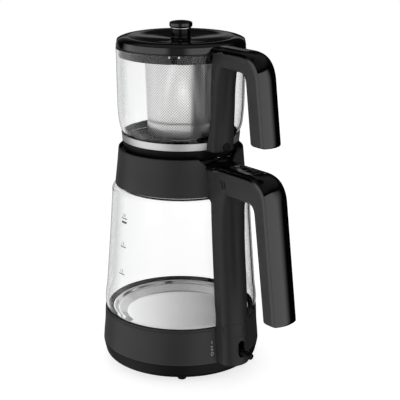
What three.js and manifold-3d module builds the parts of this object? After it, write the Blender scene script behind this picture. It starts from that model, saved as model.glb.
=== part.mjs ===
// Automatic tea maker: a cordless glass kettle on its power base, with a small glass teapot on top.
// Millimetres, +Z up. The round bodies share the axis X = Y = 0, the table is Z = 0,
// both handles point to +X, both pouring lips to -X and the level marks to -Y.
import * as THREE from 'three';
import { mergeVertices } from 'three/addons/utils/BufferGeometryUtils.js';
import Module from 'manifold-3d';

const wasm = await Module();
wasm.setup();

// Clearances and facets
const seatGap = 0.3;
const slideGap = 0.6;
const cutOverrun = 6;
const roundSteps = 36;
const midRoundSteps = 20;
const smallRoundSteps = 12;
const weldTolerance = 0.001;

// Power base
const footDrop = 5.4;
const footRadius = 4.6;
const footEdge = 1.2;
const footPocketDepth = 1.2;
const footCircleInset = 6;
const footAngle = 37;
const powerBaseHeight = 17.5;
const powerBaseWall = 2.4;
const undersideInset = 14.9;
const deckDrop = 4.5;
const hubRadius = 20;
const hubRise = 3.6;
const padRadius = 30;
const padDrop = 3.4;
const socketRadius = 18;
const socketShoulder = 0.6;
const spigotRadius = 14;
const spigotRise = 8.3;
const grooveOuterRadius = 11.5;
const grooveInnerRadius = 8.5;
const grooveDepth = 5.5;
const contactRingHeight = 3.6;
const inletRadius = 4.6;
const inletBoreRadius = 3.2;
const inletProud = 1.4;
const inletLength = 9;
const inletHeight = 7;

// Kettle base ring and the cover under it
const kettleFootRadius = 79.5;
const ringHeight = 38;
const ringLip = 1.1;
const ringFlare = 2.55;
const ringWall = 1.8;
const glassSink = 10;
const flangeThickness = 2;
const flangeReach = 5.2;
const coverLift = 2;
const coverThickness = 2.4;
const plugWall = 6.1;
const plugFlange = 4.3;
const plugFlangeThickness = 3.3;

// Heater
const gasketWidth = 4.2;
const gasketLip = 2;
const gasketSlope = 0.6;
const plateThickness = 1.2;
const plateRimDrop = 1.8;
const plateRimWidth = 0.6;
const plateSlopeDrop = 3.2;
const plateSlopeWidth = 4.3;
const plateShelfWidth = 3.4;
const plateWellDrop = 5;
const plateWellWidth = 4.7;
const elementRadius = 46;
const elementTube = 4;
const elementSweep = 300;
const elementSteps = 24;
const thermostatRadius = 12;
const thermostatHeight = 8;

// Kettle glass
const kettleGlassShow = 135.2;
const kettleGlassWall = 2.4;
const kettleBulge = 0.9;
const shoulderRise = 5.9;
const shoulderStep = 3.2;
const neckHeight = 11.8;
const neckInset = 4;

// Collar
const collarHeight = 38.5;
const collarFlare = 3.9;
const collarWall = 2;
const collarBevel = 1.2;
const sealHeight = 2.8;
const sealWidth = 2.8;
const collarFlangeThickness = 2;
const mouthInset = 8;
const spoutReach = 9;
const spoutHalfAngle = 20;
const notchTopHalf = 25;
const notchBottomHalf = 17;
const notchDepth = 8;

// Kettle lid that carries the teapot
const lidDrop = 3;
const seatDepth = 1.8;
const seatPlay = 1.1;
const seatRim = 3.3;
const lidPlate = 2.4;
const lidSkirtWall = 2;
const steamHoleRadius = 20;
const lidTabReach = 8.5;
const lidTabHalf = 7;
const lidTabThickness = 1.3;
const lidTabRib = 0.8;
const lidTabRibCount = 4;

// Teapot glass and its steel band
const teapotFootRadius = 58;
const teapotFootEdge = 2;
const teapotHeight = 107.5;
const teapotRimRadius = 66.2;
const teapotGlassWall = 2.2;
const teapotLipReach = 4.5;
const teapotLipHeight = 16;
const teapotLipHalfAngle = 16;
const bandRise = 12.5;
const bandHeight = 7.5;
const bandThickness = 0.8;
const bandInset = 5.9;
const bandTaper = 0.8;
const bandTabReach = 6.4;
const bandTabHalf = 4.5;
const bandTabMargin = 1.2;

// Infuser
const infuserFlange = 0.9;
const infuserSkirtInset = 2.7;
const infuserSkirtHeight = 8.7;
const infuserSkirtWall = 2;
const infuserWebThickness = 2.2;
const infuserWebRise = 3.2;
const basketTopRadius = 37.2;
const basketBottomRadius = 34.2;
const basketFloorGap = 15.4;
const basketWall = 0.8;
const basketLip = 3.2;
const basketEdge = 1;

// Teapot lid and its knob
const lidRimHeight = 4.9;
const lidDomeRise = 4.2;
const lidWall = 2;
const lidLocatorDepth = 2;
const lidLocatorWall = 1.8;
const knobStemRadius = 9.6;
const knobStemFlare = 1.2;
const knobStemHeight = 9.9;
const knobStemFoot = 3.3;
const knobRingRadius = 10.4;
const knobRingHeight = 1.3;
const knobCapRadius = 11.7;
const knobCapHeight = 5.2;
const knobCapCrown = 1.1;
const knobScrewRadius = 2;
const knobScrewHeadRadius = 4.5;
const knobScrewHeadHeight = 1.8;
const knobScrewDepth = 6;

// Handles in common
const handleLip = 3.5;
const handleBevel = 1.5;
const handleWall = 2.5;
const handleRound = 3.5;
const handleHollowRound = 1.2;
const handleEndRound = 3;
const handleBendLength = 24;
const handleInnerBendLength = 9;

// Kettle handle and the column behind the glass
const kettleArmDrop = 7;
const kettleArmDepth = 25.4;
const kettleHandleReach = 79.4;
const kettleGripLeanShare = 0.1454;
const kettleGripTop = 13.8;
const kettleGripEnd = 16.8;
const kettleGripHalf = 15.5;
const kettleGripBottom = 64;
const kettleStrapCrown = 2.6;
const kettleStrapFootHalf = 18.6;
const kettleStrapFootLength = 15;
const columnRise = -0.8;
const columnBackHalf = 17.6;
const columnFrontHalf = 16.6;
const columnSideDepth = 8.6;
const columnTopDepth = 12;
const columnFrontDepth = 12.4;
const columnBackWall = 2.2;
const columnEndRound = 3;
const columnSink = 22;
const columnFlare = 13;
const ventHeight = 7;
const ventWidth = 1;
const ventPitch = 4.4;
const ventLean = 3.8;
const ventInset = 14.4;
const ventDrop = 14.6;

// Badge plate, switch and its lever
const badgeHeight = 13.6;
const badgeHalf = 16;
const badgeCorner = 3.5;
const badgeThickness = 0.8;
const badgeRise = 37.8;
const slotHalf = 4.4;
const slotHeight = 18;
const slotRise = 8.2;
const leverRadius = 3.4;
const leverStopGap = 2;
const leverPivotInset = 18;
const leverProud = 14;
const leverBarHalf = 2;
const leverBarHeight = 4.6;
const leverHubRadius = 4;
const leverHubHalf = 2.8;
const pivotPinRadius = 1.5;
const bracketWall = 2;
const bracketHalfLength = 6;
const bracketFoot = 2;
const leverLift = 14;

// Screws that hold the column to the base ring
const columnScrewSpread = 11;
const columnScrewRise = 9.5;
const columnScrewRadius = 1.5;
const columnScrewHeadRadius = 3;
const columnScrewHeadHeight = 2;
const columnScrewLength = 8;
const columnBossRadius = 3.6;

// Controls on the kettle handle
const brewButtonFromCollar = 25.4;
const warmButtonFromCollar = 49.4;
const brewButtonLength = 13;
const warmButtonLength = 15;
const buttonHalf = 7.5;
const buttonRise = 0.5;
const buttonCorner = 2;
const buttonFlange = 0.6;
const buttonFlangeThickness = 1.2;
const buttonClear = 0.6;
const buttonStemHalf = 2;
const buttonTravel = 1;
const switchHeight = 3.4;
const switchHalf = 3;
const boardThickness = 1.6;
const boardHalf = 9;
const boardLength = 42;
const boardStart = 19;
const boardPostPitch = 19;
const boardPostRadius = 2.4;
const ledRadius = 1.3;
const ledFromCollar = 59.8;
const ledSide = 5;
const loomRadius = 1.4;
const loomSteps = 30;
const loomSpread = 11;
const loomRunUp = 5.6;
const loomTurn = 2.8;
const loomLead = 7;
const loomDrop = 4.2;
const loomHeightShares = [0.35, 0.6, 0.8];

// Teapot handle
const teapotArmRise = 6.6;
const teapotArmDepth = 17.9;
const teapotHandleReach = 61.6;
const teapotGripLeanShare = 0.142;
const teapotGripTop = 16.2;
const teapotGripEnd = 19;
const teapotGripHalf = 12.5;
const teapotGripRise = 28.1;
const teapotStrapCrown = 2;
const teapotStrapFootHalf = 14.6;
const teapotStrapFootLength = 13;
const teapotColumnFoot = 1.2;
const teapotColumnBackHalf = 15;
const teapotColumnFrontHalf = 13.6;
const teapotColumnSideDepth = 2.2;
const teapotColumnFrontDepth = 6.4;
const teapotColumnLeanShare = 0.07;
const teapotColumnFlare = 9;
const handlePlugRadius = 4.35;
const handlePlugThickness = 2.2;
const handleScrewRadius = 1.6;
const handleScrewHeadRadius = 3.1;
const handleScrewHeadHeight = 1.8;
const handleScrewWeb = 1.2;

// Curves as shares of the sizes that they follow
const trayShares = [[0, 0], [0.34, 0.085], [0.62, 0.16], [0.77, 0.27], [0.9, 0.6], [1, 1]];
const ringShares = [[1, 0], [0.8, 0.19], [0.33, 0.55], [0.04, 0.97], [0, 1]];
const kettleGlassShares = [[0.02, 1], [0.2, 0.82], [0.365, 0.62], [0.53, 0.43], [0.74, 0.2], [0.955, 0]];
const shoulderStartShare = 0.58;
const shoulderShares = [[0.06, 0.34], [0.2, 0.65], [0.45, 0.88], [0.75, 0.98]];
const collarShares = [[1, 0], [0.64, 0.33], [0.39, 0.56], [0.1, 0.89], [0, 0.965]];
const teapotShares = [[0.44, 0.25], [0.74, 0.377], [0.88, 0.62], [0.94, 0.86], [1, 1]];
const lidDomeShares = [[0.985, 0.25], [0.93, 0.7], [0.84, 1], [0.74, 0.97], [0.5, 0.68], [0.17, 0.3]];
const columnShares = [0, 0.4, 0.72, 0.83, 0.88, 0.92, 0.95, 1];
const columnFlareShares = [0, 0, 0.02, 0.12, 0.3, 0.6, 1, 1];
const armShares = [0, 0.3, 0.45, 0.7, 1];
const gripShares = [0, 0.25, 0.5, 0.75, 1];
const bendSteps = 6;
const crownSteps = 6;
const cornerSteps = 2;

// Heights that the pieces stack up to
const undersideZ = footDrop;
const rimZ = undersideZ + powerBaseHeight;
const deckZ = rimZ - deckDrop;
const kettleZ = rimZ + seatGap;
const ringTopZ = kettleZ + ringHeight;
const glassBottomZ = ringTopZ - glassSink;
const plateZ = ringTopZ - plateRimDrop;
const wellZ = plateZ - plateSlopeDrop - plateWellDrop;
const plateUnderZ = wellZ - plateThickness;
const coverZ = kettleZ + coverLift;
const coverTopZ = coverZ + coverThickness;
const collarZ = ringTopZ + kettleGlassShow + seatGap;
const glassTopZ = collarZ + neckHeight - seatGap;
const collarFlangeZ = glassTopZ + sealHeight + 2 * seatGap;
const collarLedgeZ = collarFlangeZ + collarFlangeThickness;
const collarTopZ = collarZ + collarHeight;
const lidTopZ = collarTopZ - lidDrop;
const seatZ = lidTopZ - seatDepth;
const teapotZ = seatZ + seatGap;
const teapotTopZ = teapotZ + teapotHeight;
const infuserTopZ = teapotTopZ + seatGap + infuserFlange;
const skirtBottomZ = infuserTopZ - infuserFlange - infuserSkirtHeight;
const webZ = skirtBottomZ + infuserWebRise + infuserWebThickness;
const basketTopZ = webZ + seatGap + basketWall;
const basketBottomZ = teapotZ + teapotGlassWall + basketFloorGap;
const teapotLidZ = infuserTopZ + seatGap;
const lidRimTopZ = teapotLidZ + lidRimHeight;
const domeTopZ = lidRimTopZ + lidDomeShares.at(-1)[1] * lidDomeRise;
const kettleArmZ = collarTopZ - kettleArmDrop;
const teapotArmZ = teapotTopZ + teapotArmRise;

// Radii that follow from what the pieces fit round
const ringInnerRadius = kettleFootRadius + seatGap;
const ringTopRadius = ringInnerRadius + ringLip;
const ringBottomRadius = ringTopRadius + ringFlare;
const trayRadius = ringBottomRadius;
const undersideRadius = trayRadius - undersideInset;
const gasketOuterRadius = kettleFootRadius - kettleGlassWall - seatGap;
const gasketInnerRadius = gasketOuterRadius - gasketWidth;
const plateRadius = gasketInnerRadius + gasketLip - seatGap;
const plugRadius = spigotRadius + slideGap + plugWall;
const seatRadius = teapotFootRadius + seatPlay;
const kettleLidRadius = seatRadius + seatRim;
const collarInnerRadius = kettleLidRadius + seatGap;
const collarTopRadius = collarInnerRadius + collarWall;
const collarBottomRadius = collarTopRadius + collarFlare;
const shoulderRadius = collarBottomRadius + shoulderStep;
const neckRadius = collarBottomRadius - neckInset;
const mouthRadius = neckRadius - mouthInset;
const bandRadius = teapotRimRadius - bandInset;
const skirtRadius = teapotRimRadius - infuserSkirtInset;
const ledgeRadius = collarTopRadius + seatGap;

const deg = Math.PI / 180;

// Welded copy of a mesh with only its positions and no empty triangles
function weld(geometry) {
  const bare = geometry.clone();
  bare.deleteAttribute('normal');
  bare.deleteAttribute('uv');
  const merged = mergeVertices(bare, weldTolerance);
  const kept = [];
  const index = merged.index.array;
  for (let i = 0; i < index.length; i += 3) {
    const [a, b, c] = [index[i], index[i + 1], index[i + 2]];
    if (a !== b && b !== c && c !== a) kept.push(a, b, c);
  }
  merged.setIndex(kept);
  return merged;
}

// Volume inside a welded mesh, negative when its faces point inwards
function signedVolume(geometry) {
  const p = geometry.attributes.position;
  const index = geometry.index.array;
  const [a, b, c] = [new THREE.Vector3(), new THREE.Vector3(), new THREE.Vector3()];
  let sum = 0;
  for (let i = 0; i < index.length; i += 3) {
    a.fromBufferAttribute(p, index[i]);
    b.fromBufferAttribute(p, index[i + 1]);
    c.fromBufferAttribute(p, index[i + 2]);
    sum += a.dot(b.cross(c));
  }
  return sum;
}

// Solid of a closed mesh, with its faces turned outwards
function solid(geometry) {
  const mesh = weld(geometry);
  const turned = signedVolume(mesh) < 0;
  const index = mesh.index.array;
  const triVerts = new Uint32Array(index.length);
  for (let i = 0; i < index.length; i += 3) {
    triVerts[i] = index[i];
    triVerts[i + 1] = index[turned ? i + 2 : i + 1];
    triVerts[i + 2] = index[turned ? i + 1 : i + 2];
  }
  const vertProperties = new Float32Array(mesh.attributes.position.array);
  return new wasm.Manifold(new wasm.Mesh({ numProp: 3, vertProperties, triVerts }));
}

// Mesh geometry of a solid
function geometryOf(body) {
  const mesh = body.getMesh();
  const geometry = new THREE.BufferGeometry();
  geometry.setAttribute('position', new THREE.BufferAttribute(new Float32Array(mesh.vertProperties), 3));
  geometry.setIndex(new THREE.BufferAttribute(new Uint32Array(mesh.triVerts), 1));
  geometry.computeVertexNormals();
  return geometry;
}

// Turned body round the Z axis from a profile of [radius, height] points
function turnedGeometry(profile, steps = roundSteps) {
  const onAxis = profile[0][0] === 0;
  const points = profile.map(([r, z]) => new THREE.Vector2(r, z));
  if (!onAxis) points.push(points[0].clone());
  return new THREE.LatheGeometry(points, steps).rotateX(Math.PI / 2);
}

function turned(profile, steps = roundSteps) {
  return solid(turnedGeometry(profile, steps));
}

// Box between two corners
function block(low, high) {
  const size = high.map((v, i) => v - low[i]);
  const box = new THREE.BoxGeometry(...size);
  return solid(box.translate(...low.map((v, i) => v + size[i] / 2)));
}

// Round bar along X or Y that starts at a point
function barAlongX(radius, length, start, steps = smallRoundSteps) {
  const bar = new THREE.CylinderGeometry(radius, radius, length, steps);
  return solid(bar.rotateZ(-Math.PI / 2).translate(start[0] + length / 2, start[1], start[2]));
}

function barAlongY(radius, length, start, steps = smallRoundSteps) {
  const bar = new THREE.CylinderGeometry(radius, radius, length, steps);
  return solid(bar.translate(start[0], start[1] + length / 2, start[2]));
}

function barAlongZ(radius, length, start, steps = smallRoundSteps) {
  const bar = new THREE.CylinderGeometry(radius, radius, length, steps);
  return solid(bar.rotateX(Math.PI / 2).translate(start[0], start[1], start[2] + length / 2));
}

// Rounded rectangle centred on the origin
function roundedShape(halfWide, halfHigh, corner) {
  const shape = new THREE.Shape();
  const r = Math.min(corner, halfWide, halfHigh);
  shape.moveTo(halfWide, r - halfHigh);
  shape.absarc(halfWide - r, halfHigh - r, r, 0, Math.PI / 2);
  shape.absarc(r - halfWide, halfHigh - r, r, Math.PI / 2, Math.PI);
  shape.absarc(r - halfWide, r - halfHigh, r, Math.PI, 1.5 * Math.PI);
  shape.absarc(halfWide - r, r - halfHigh, r, 1.5 * Math.PI, 2 * Math.PI);
  return shape;
}

// Rounded bar through the column along X: half width in Y, height in Z
function prismAlongX(halfWide, height, corner, bottomZ, fromX, toX) {
  const shape = roundedShape(halfWide, height / 2, corner);
  const options = { depth: toX - fromX, bevelEnabled: false, curveSegments: cornerSteps };
  const prism = new THREE.ExtrudeGeometry(shape, options).rotateX(Math.PI / 2).rotateZ(Math.PI / 2);
  return solid(prism.translate(fromX, 0, bottomZ + height / 2));
}

// Rounded plate that stands up along Z
function prismAlongZ(halfLong, halfWide, corner, centreX, bottomZ, topZ) {
  const shape = roundedShape(halfLong, halfWide, corner);
  const options = { depth: topZ - bottomZ, bevelEnabled: false, curveSegments: cornerSteps };
  return solid(new THREE.ExtrudeGeometry(shape, options).translate(centreX, 0, bottomZ));
}

// Closed body through a row of rings with the same number of points
function loft(rings) {
  const count = rings[0].length;
  const positions = rings.flatMap((ring) => ring.flatMap((p) => [p.x, p.y, p.z]));
  const index = [];
  for (let r = 0; r + 1 < rings.length; r += 1) {
    for (let i = 0; i < count; i += 1) {
      const next = (i + 1) % count;
      const [a, b] = [r * count + i, r * count + next];
      const [c, d] = [a + count, b + count];
      index.push(a, b, d, a, d, c);
    }
  }
  const caps = [[rings[0], 0, true], [rings.at(-1), (rings.length - 1) * count, false]];
  for (const [ring, start, flip] of caps) {
    const middle = ring.reduce((sum, p) => sum.add(p), new THREE.Vector3()).divideScalar(count);
    const hub = positions.length / 3;
    positions.push(middle.x, middle.y, middle.z);
    for (let i = 0; i < count; i += 1) {
      const pair = [start + i, start + ((i + 1) % count)];
      if (flip) pair.reverse();
      index.push(hub, ...pair);
    }
  }
  const geometry = new THREE.BufferGeometry();
  geometry.setAttribute('position', new THREE.Float32BufferAttribute(positions, 3));
  geometry.setIndex(index);
  return solid(geometry);
}

// Push a round rim out into a pouring lip towards -X
function pushLip(geometry, bottomZ, topZ, reach, halfAngle) {
  const p = geometry.attributes.position;
  for (let i = 0; i < p.count; i += 1) {
    const [x, y, z] = [p.getX(i), p.getY(i), p.getZ(i)];
    const radius = Math.hypot(x, y);
    const away = Math.abs(Math.atan2(y, -x)) / (halfAngle * deg);
    const up = Math.min(Math.max((z - bottomZ) / (topZ - bottomZ), 0), 1);
    if (away < 1 && up > 0 && radius > 0) {
      const push = reach * up * up * Math.cos((away * Math.PI) / 2) ** 2;
      p.setXY(i, x * (1 + push / radius), y * (1 + push / radius));
    }
  }
  return geometry;
}

// Outline points from shares: [radius share, height share]
function sharesBetween(shares, radiusFrom, radiusTo, zFrom, zTo) {
  return shares.map(([r, z]) => [radiusFrom + r * (radiusTo - radiusFrom), zFrom + z * (zTo - zFrom)]);
}

function mirrored(points) {
  return [...points].reverse();
}

// Outer outlines of the round bodies, from the bottom up
function trayOutline(grow) {
  return sharesBetween(trayShares, undersideRadius, trayRadius + grow, undersideZ, rimZ);
}

function ringOutline(grow) {
  return sharesBetween(ringShares, ringTopRadius + grow, ringBottomRadius + grow, kettleZ, ringTopZ);
}

function kettleGlassOutline(grow) {
  const show = kettleGlassShares.map(([z, r]) => [
    shoulderRadius + r * (kettleFootRadius + kettleBulge - shoulderRadius) + grow,
    ringTopZ + z * (kettleGlassShow - seatGap),
  ]);
  const shoulderZ = ringTopZ + kettleGlassShow - shoulderRise;
  const shoulder = shoulderShares.map(([r, z]) => [
    shoulderRadius - r * (shoulderRadius - neckRadius) + grow,
    shoulderZ + z * (shoulderRise - seatGap),
  ]);
  return [...show, ...shoulder];
}

function collarOutline(grow) {
  const side = sharesBetween(
    collarShares, collarTopRadius + grow, collarBottomRadius + grow, collarZ, collarTopZ,
  );
  return [...side, [collarTopRadius + grow - collarBevel / 2, collarTopZ + grow]];
}

function teapotOutline(grow) {
  const foot = [
    [teapotFootRadius - teapotFootEdge + grow, teapotZ],
    [teapotFootRadius + grow, teapotZ + teapotFootEdge],
  ];
  const bandZ = teapotZ + bandRise;
  const seat = [
    [bandRadius - bandTaper + grow, bandZ],
    [bandRadius + grow, bandZ + bandHeight],
  ];
  const side = sharesBetween(teapotShares, bandRadius, teapotRimRadius, teapotZ, teapotTopZ);
  return [...foot, ...seat, ...side.map(([r, z]) => [r + grow, z])].filter(
    ([, z], i, all) => i === 0 || z > all[i - 1][1],
  );
}

// Solid filled to the axis from an outline
function filled(outline, bottomZ, topZ) {
  return turned([[0, bottomZ], [outline[0][0], bottomZ], ...outline, [outline.at(-1)[0], topZ], [0, topZ]]);
}

const parts = new THREE.Group();

function add(name, body, finish) {
  const mesh = new THREE.Mesh(geometryOf(body), finish());
  mesh.name = name;
  parts.add(mesh);
}

// Finishes
const satinBlack = () => new THREE.MeshStandardMaterial({ color: 0x1c1c1d, roughness: 0.5, metalness: 0 });
const matteGrey = () => new THREE.MeshStandardMaterial({ color: 0x3a3a3c, roughness: 0.6, metalness: 0 });
const glossBlack = () => new THREE.MeshStandardMaterial({ color: 0x0c0c0d, roughness: 0.12, metalness: 0 });
const clearGlass = () => new THREE.MeshStandardMaterial({
  color: 0xe9f0ee, roughness: 0.03, metalness: 0, transparent: true, opacity: 0.3,
});
const steel = () => new THREE.MeshStandardMaterial({ color: 0xc9cac9, roughness: 0.25, metalness: 1 });
const brass = () => new THREE.MeshStandardMaterial({ color: 0xb8923f, roughness: 0.35, metalness: 1 });
const silicone = () => new THREE.MeshStandardMaterial({ color: 0x232324, roughness: 0.8, metalness: 0 });
const board = () => new THREE.MeshStandardMaterial({ color: 0x1f5a35, roughness: 0.6, metalness: 0 });
const amber = () => new THREE.MeshStandardMaterial({ color: 0xd8d8d2, roughness: 0.3, metalness: 0 });

// Power base: bottom cover with its feet, tray, connector and cord inlet
function footCentre(side, front) {
  const radius = undersideRadius - footCircleInset;
  return [front * radius * Math.cos(footAngle * deg), side * radius * Math.sin(footAngle * deg)];
}

function buildPowerBase() {
  const coverTop = undersideZ + powerBaseWall;
  const hubTop = coverTop + hubRise;
  let cover = turned([
    [0, undersideZ - padDrop], [padRadius, undersideZ - padDrop], [padRadius, undersideZ],
    [undersideRadius - seatGap, undersideZ], [undersideRadius - seatGap, coverTop],
    [hubRadius, coverTop], [hubRadius, hubTop], [0, hubTop],
  ]);
  const feet = [[-1, 1], [1, 1], [1, -1], [-1, -1]];
  feet.forEach(([side, front], i) => {
    const [x, y] = footCentre(side, front);
    cover = cover.subtract(
      barAlongZ(footRadius + seatGap, footPocketDepth + cutOverrun, [x, y, undersideZ - cutOverrun]),
    );
    const foot = new THREE.LatheGeometry([
      [0, 0], [footRadius - footEdge, 0], [footRadius, footEdge],
      [footRadius, undersideZ + footPocketDepth - seatGap], [0, undersideZ + footPocketDepth - seatGap],
    ].map(([r, z]) => new THREE.Vector2(r, z)), smallRoundSteps).rotateX(Math.PI / 2);
    add(`base_foot_${i + 1}`, solid(foot.translate(x, y, 0)), silicone);
  });
  add('base_bottom_cover', cover, satinBlack);

  const holeRadius = socketRadius + seatGap;
  const innerTop = deckZ - powerBaseWall;
  const inside = sharesBetween(
    trayShares, undersideRadius, trayRadius - powerBaseWall, undersideZ + powerBaseWall, innerTop,
  );
  const lipRadius = trayRadius - powerBaseWall;
  let tray = turned([
    ...trayOutline(0), [lipRadius, rimZ], [lipRadius, deckZ], [holeRadius, deckZ],
    [holeRadius, innerTop], ...mirrored(inside),
  ]);
  const inletY = trayRadius + inletProud - inletLength;
  const inletZ = undersideZ + inletHeight;
  tray = tray.subtract(
    barAlongY(inletRadius + seatGap, inletLength + cutOverrun, [0, inletY - seatGap, inletZ]),
  );
  add('base_tray', tray, satinBlack);

  const inlet = barAlongY(inletRadius, inletLength, [0, inletY, inletZ])
    .subtract(barAlongY(inletBoreRadius, inletLength + 2 * cutOverrun, [0, inletY - cutOverrun, inletZ]));
  add('cord_inlet', inlet, silicone);

  const shoulderZ = deckZ + socketShoulder;
  const spigotZ = deckZ + spigotRise;
  const grooveZ = spigotZ - grooveDepth;
  add('base_connector', turned([
    [0, hubTop + seatGap], [socketRadius, hubTop + seatGap], [socketRadius, shoulderZ],
    [spigotRadius, shoulderZ], [spigotRadius, spigotZ],
    [grooveOuterRadius, spigotZ], [grooveOuterRadius, grooveZ],
    [grooveInnerRadius, grooveZ], [grooveInnerRadius, spigotZ], [0, spigotZ],
  ], midRoundSteps), satinBlack);
  add('base_contact_ring', turned([
    [grooveInnerRadius + seatGap, grooveZ + seatGap], [grooveOuterRadius - seatGap, grooveZ + seatGap],
    [grooveOuterRadius - seatGap, grooveZ + seatGap + contactRingHeight],
    [grooveInnerRadius + seatGap, grooveZ + seatGap + contactRingHeight],
  ], midRoundSteps), brass);
}

// Kettle lower end: base ring, cover, connector, heater, lever bracket
const leverZ = kettleZ + slotRise + leverStopGap + leverRadius;
const leverX = ringBottomRadius - leverPivotInset;

function leverPassage() {
  const lift = (ringBottomRadius - leverX) * Math.tan(leverLift * deg);
  const half = leverBarHalf + slideGap;
  const low = leverZ - leverBarHeight / 2 - slideGap;
  return block(
    [ringTopRadius - ringWall - cutOverrun, -half, low],
    [ringBottomRadius + cutOverrun, half, leverZ + leverBarHeight / 2 + lift + slideGap],
  );
}

function loomPassageZ() {
  return leverZ + leverBarHeight / 2 + leverRadius + loomRadius;
}

function columnScrewPlaces() {
  return [-1, 1].map((side) => [side * columnScrewSpread, kettleZ + columnScrewRise]);
}

// X of a circle round the axis at a distance Y to the side
function chordX(radius, y) {
  return Math.sqrt(radius * radius - y * y);
}

function buildKettleBase() {
  const flangeTop = glassBottomZ - seatGap;
  const flangeUnder = flangeTop - flangeThickness;
  const flangeRadius = ringInnerRadius - flangeReach;
  const innerTop = ringInnerRadius;
  const innerBottom = ringBottomRadius - ringWall - seatGap;
  let ring = turned([
    ...ringOutline(0), [innerTop, ringTopZ], [innerTop, flangeTop], [flangeRadius, flangeTop],
    [flangeRadius, flangeUnder], [innerTop - seatGap, flangeUnder], [innerBottom, kettleZ],
  ]);
  ring = ring.subtract(leverPassage());
  const loomY = loomSpread;
  ring = ring.subtract(barAlongX(
    loomRadius + slideGap, ringWall + flangeReach + 2 * cutOverrun,
    [ringInnerRadius - flangeReach - cutOverrun, loomY, loomPassageZ()],
  ));
  columnScrewPlaces().forEach(([y, z]) => {
    ring = ring.subtract(barAlongX(
      columnScrewRadius + seatGap, 2 * cutOverrun + ringWall, [ringTopRadius - ringWall - cutOverrun, y, z],
    ));
  });
  add('kettle_base_ring', ring, matteGrey);

  const lean = (innerBottom - innerTop) * (coverTopZ - kettleZ) / (flangeUnder - kettleZ);
  const coverRadius = innerBottom - lean - seatGap;
  add('kettle_base_cover', turned([
    [plugRadius + seatGap, coverZ], [coverRadius, coverZ],
    [coverRadius, coverTopZ], [plugRadius + seatGap, coverTopZ],
  ]), satinBlack);

  const plugTop = coverTopZ + seatGap + plugFlangeThickness;
  const plugBottom = deckZ + socketShoulder + slideGap;
  const roof = deckZ + spigotRise + slideGap;
  add('kettle_connector', turned([
    [0, roof], [spigotRadius + slideGap, roof],
    [spigotRadius + slideGap, plugBottom], [plugRadius, plugBottom],
    [plugRadius, coverTopZ + seatGap], [plugRadius + plugFlange, coverTopZ + seatGap],
    [plugRadius + plugFlange, plugTop], [0, plugTop],
  ].reverse(), midRoundSteps), satinBlack);

  const gasketTop = ringTopZ - gasketSlope;
  const slotTop = plateZ + seatGap;
  const slotUnder = plateZ - plateThickness - seatGap;
  const slotRadius = plateRadius + seatGap;
  add('heater_gasket', turned([
    [gasketInnerRadius, glassBottomZ], [gasketOuterRadius, glassBottomZ], [gasketOuterRadius, gasketTop],
    [gasketInnerRadius, gasketTop - gasketSlope], [gasketInnerRadius, slotTop], [slotRadius, slotTop],
    [slotRadius, slotUnder], [gasketInnerRadius, slotUnder],
  ]), silicone);

  const slopeRadius = gasketInnerRadius - plateRimWidth;
  const shelfRadius = slopeRadius - plateSlopeWidth;
  const edgeRadius = shelfRadius - plateShelfWidth;
  const shelfZ = plateZ - plateSlopeDrop;
  const top = [
    [plateRadius, plateZ], [slopeRadius, plateZ], [shelfRadius, shelfZ], [edgeRadius, shelfZ],
    [edgeRadius - plateWellWidth, wellZ], [0, wellZ],
  ];
  const under = mirrored(top).map(([r, z]) => [r, z - plateThickness]);
  add('heater_plate', turned([...under, ...top]), steel);

  const elementZ = plateUnderZ - seatGap - elementTube;
  const turn = [];
  const start = (360 - elementSweep) / 2;
  for (let i = 0; i <= elementSteps; i += 1) {
    const angle = (start + (elementSweep * i) / elementSteps) * deg;
    turn.push(new THREE.Vector3(elementRadius * Math.cos(angle), elementRadius * Math.sin(angle), elementZ));
  }
  const section = new THREE.Shape().absarc(0, 0, elementTube, 0, 2 * Math.PI);
  add('heating_element', solid(new THREE.ExtrudeGeometry(section, {
    steps: elementSteps, extrudePath: new THREE.CatmullRomCurve3(turn), curveSegments: 4, bevelEnabled: false,
  })), steel);

  const thermostatTop = plateUnderZ - seatGap;
  const can = barAlongZ(thermostatRadius, thermostatHeight, [0, 0, thermostatTop - thermostatHeight]);
  add('thermostat', can, satinBlack);
}

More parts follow.
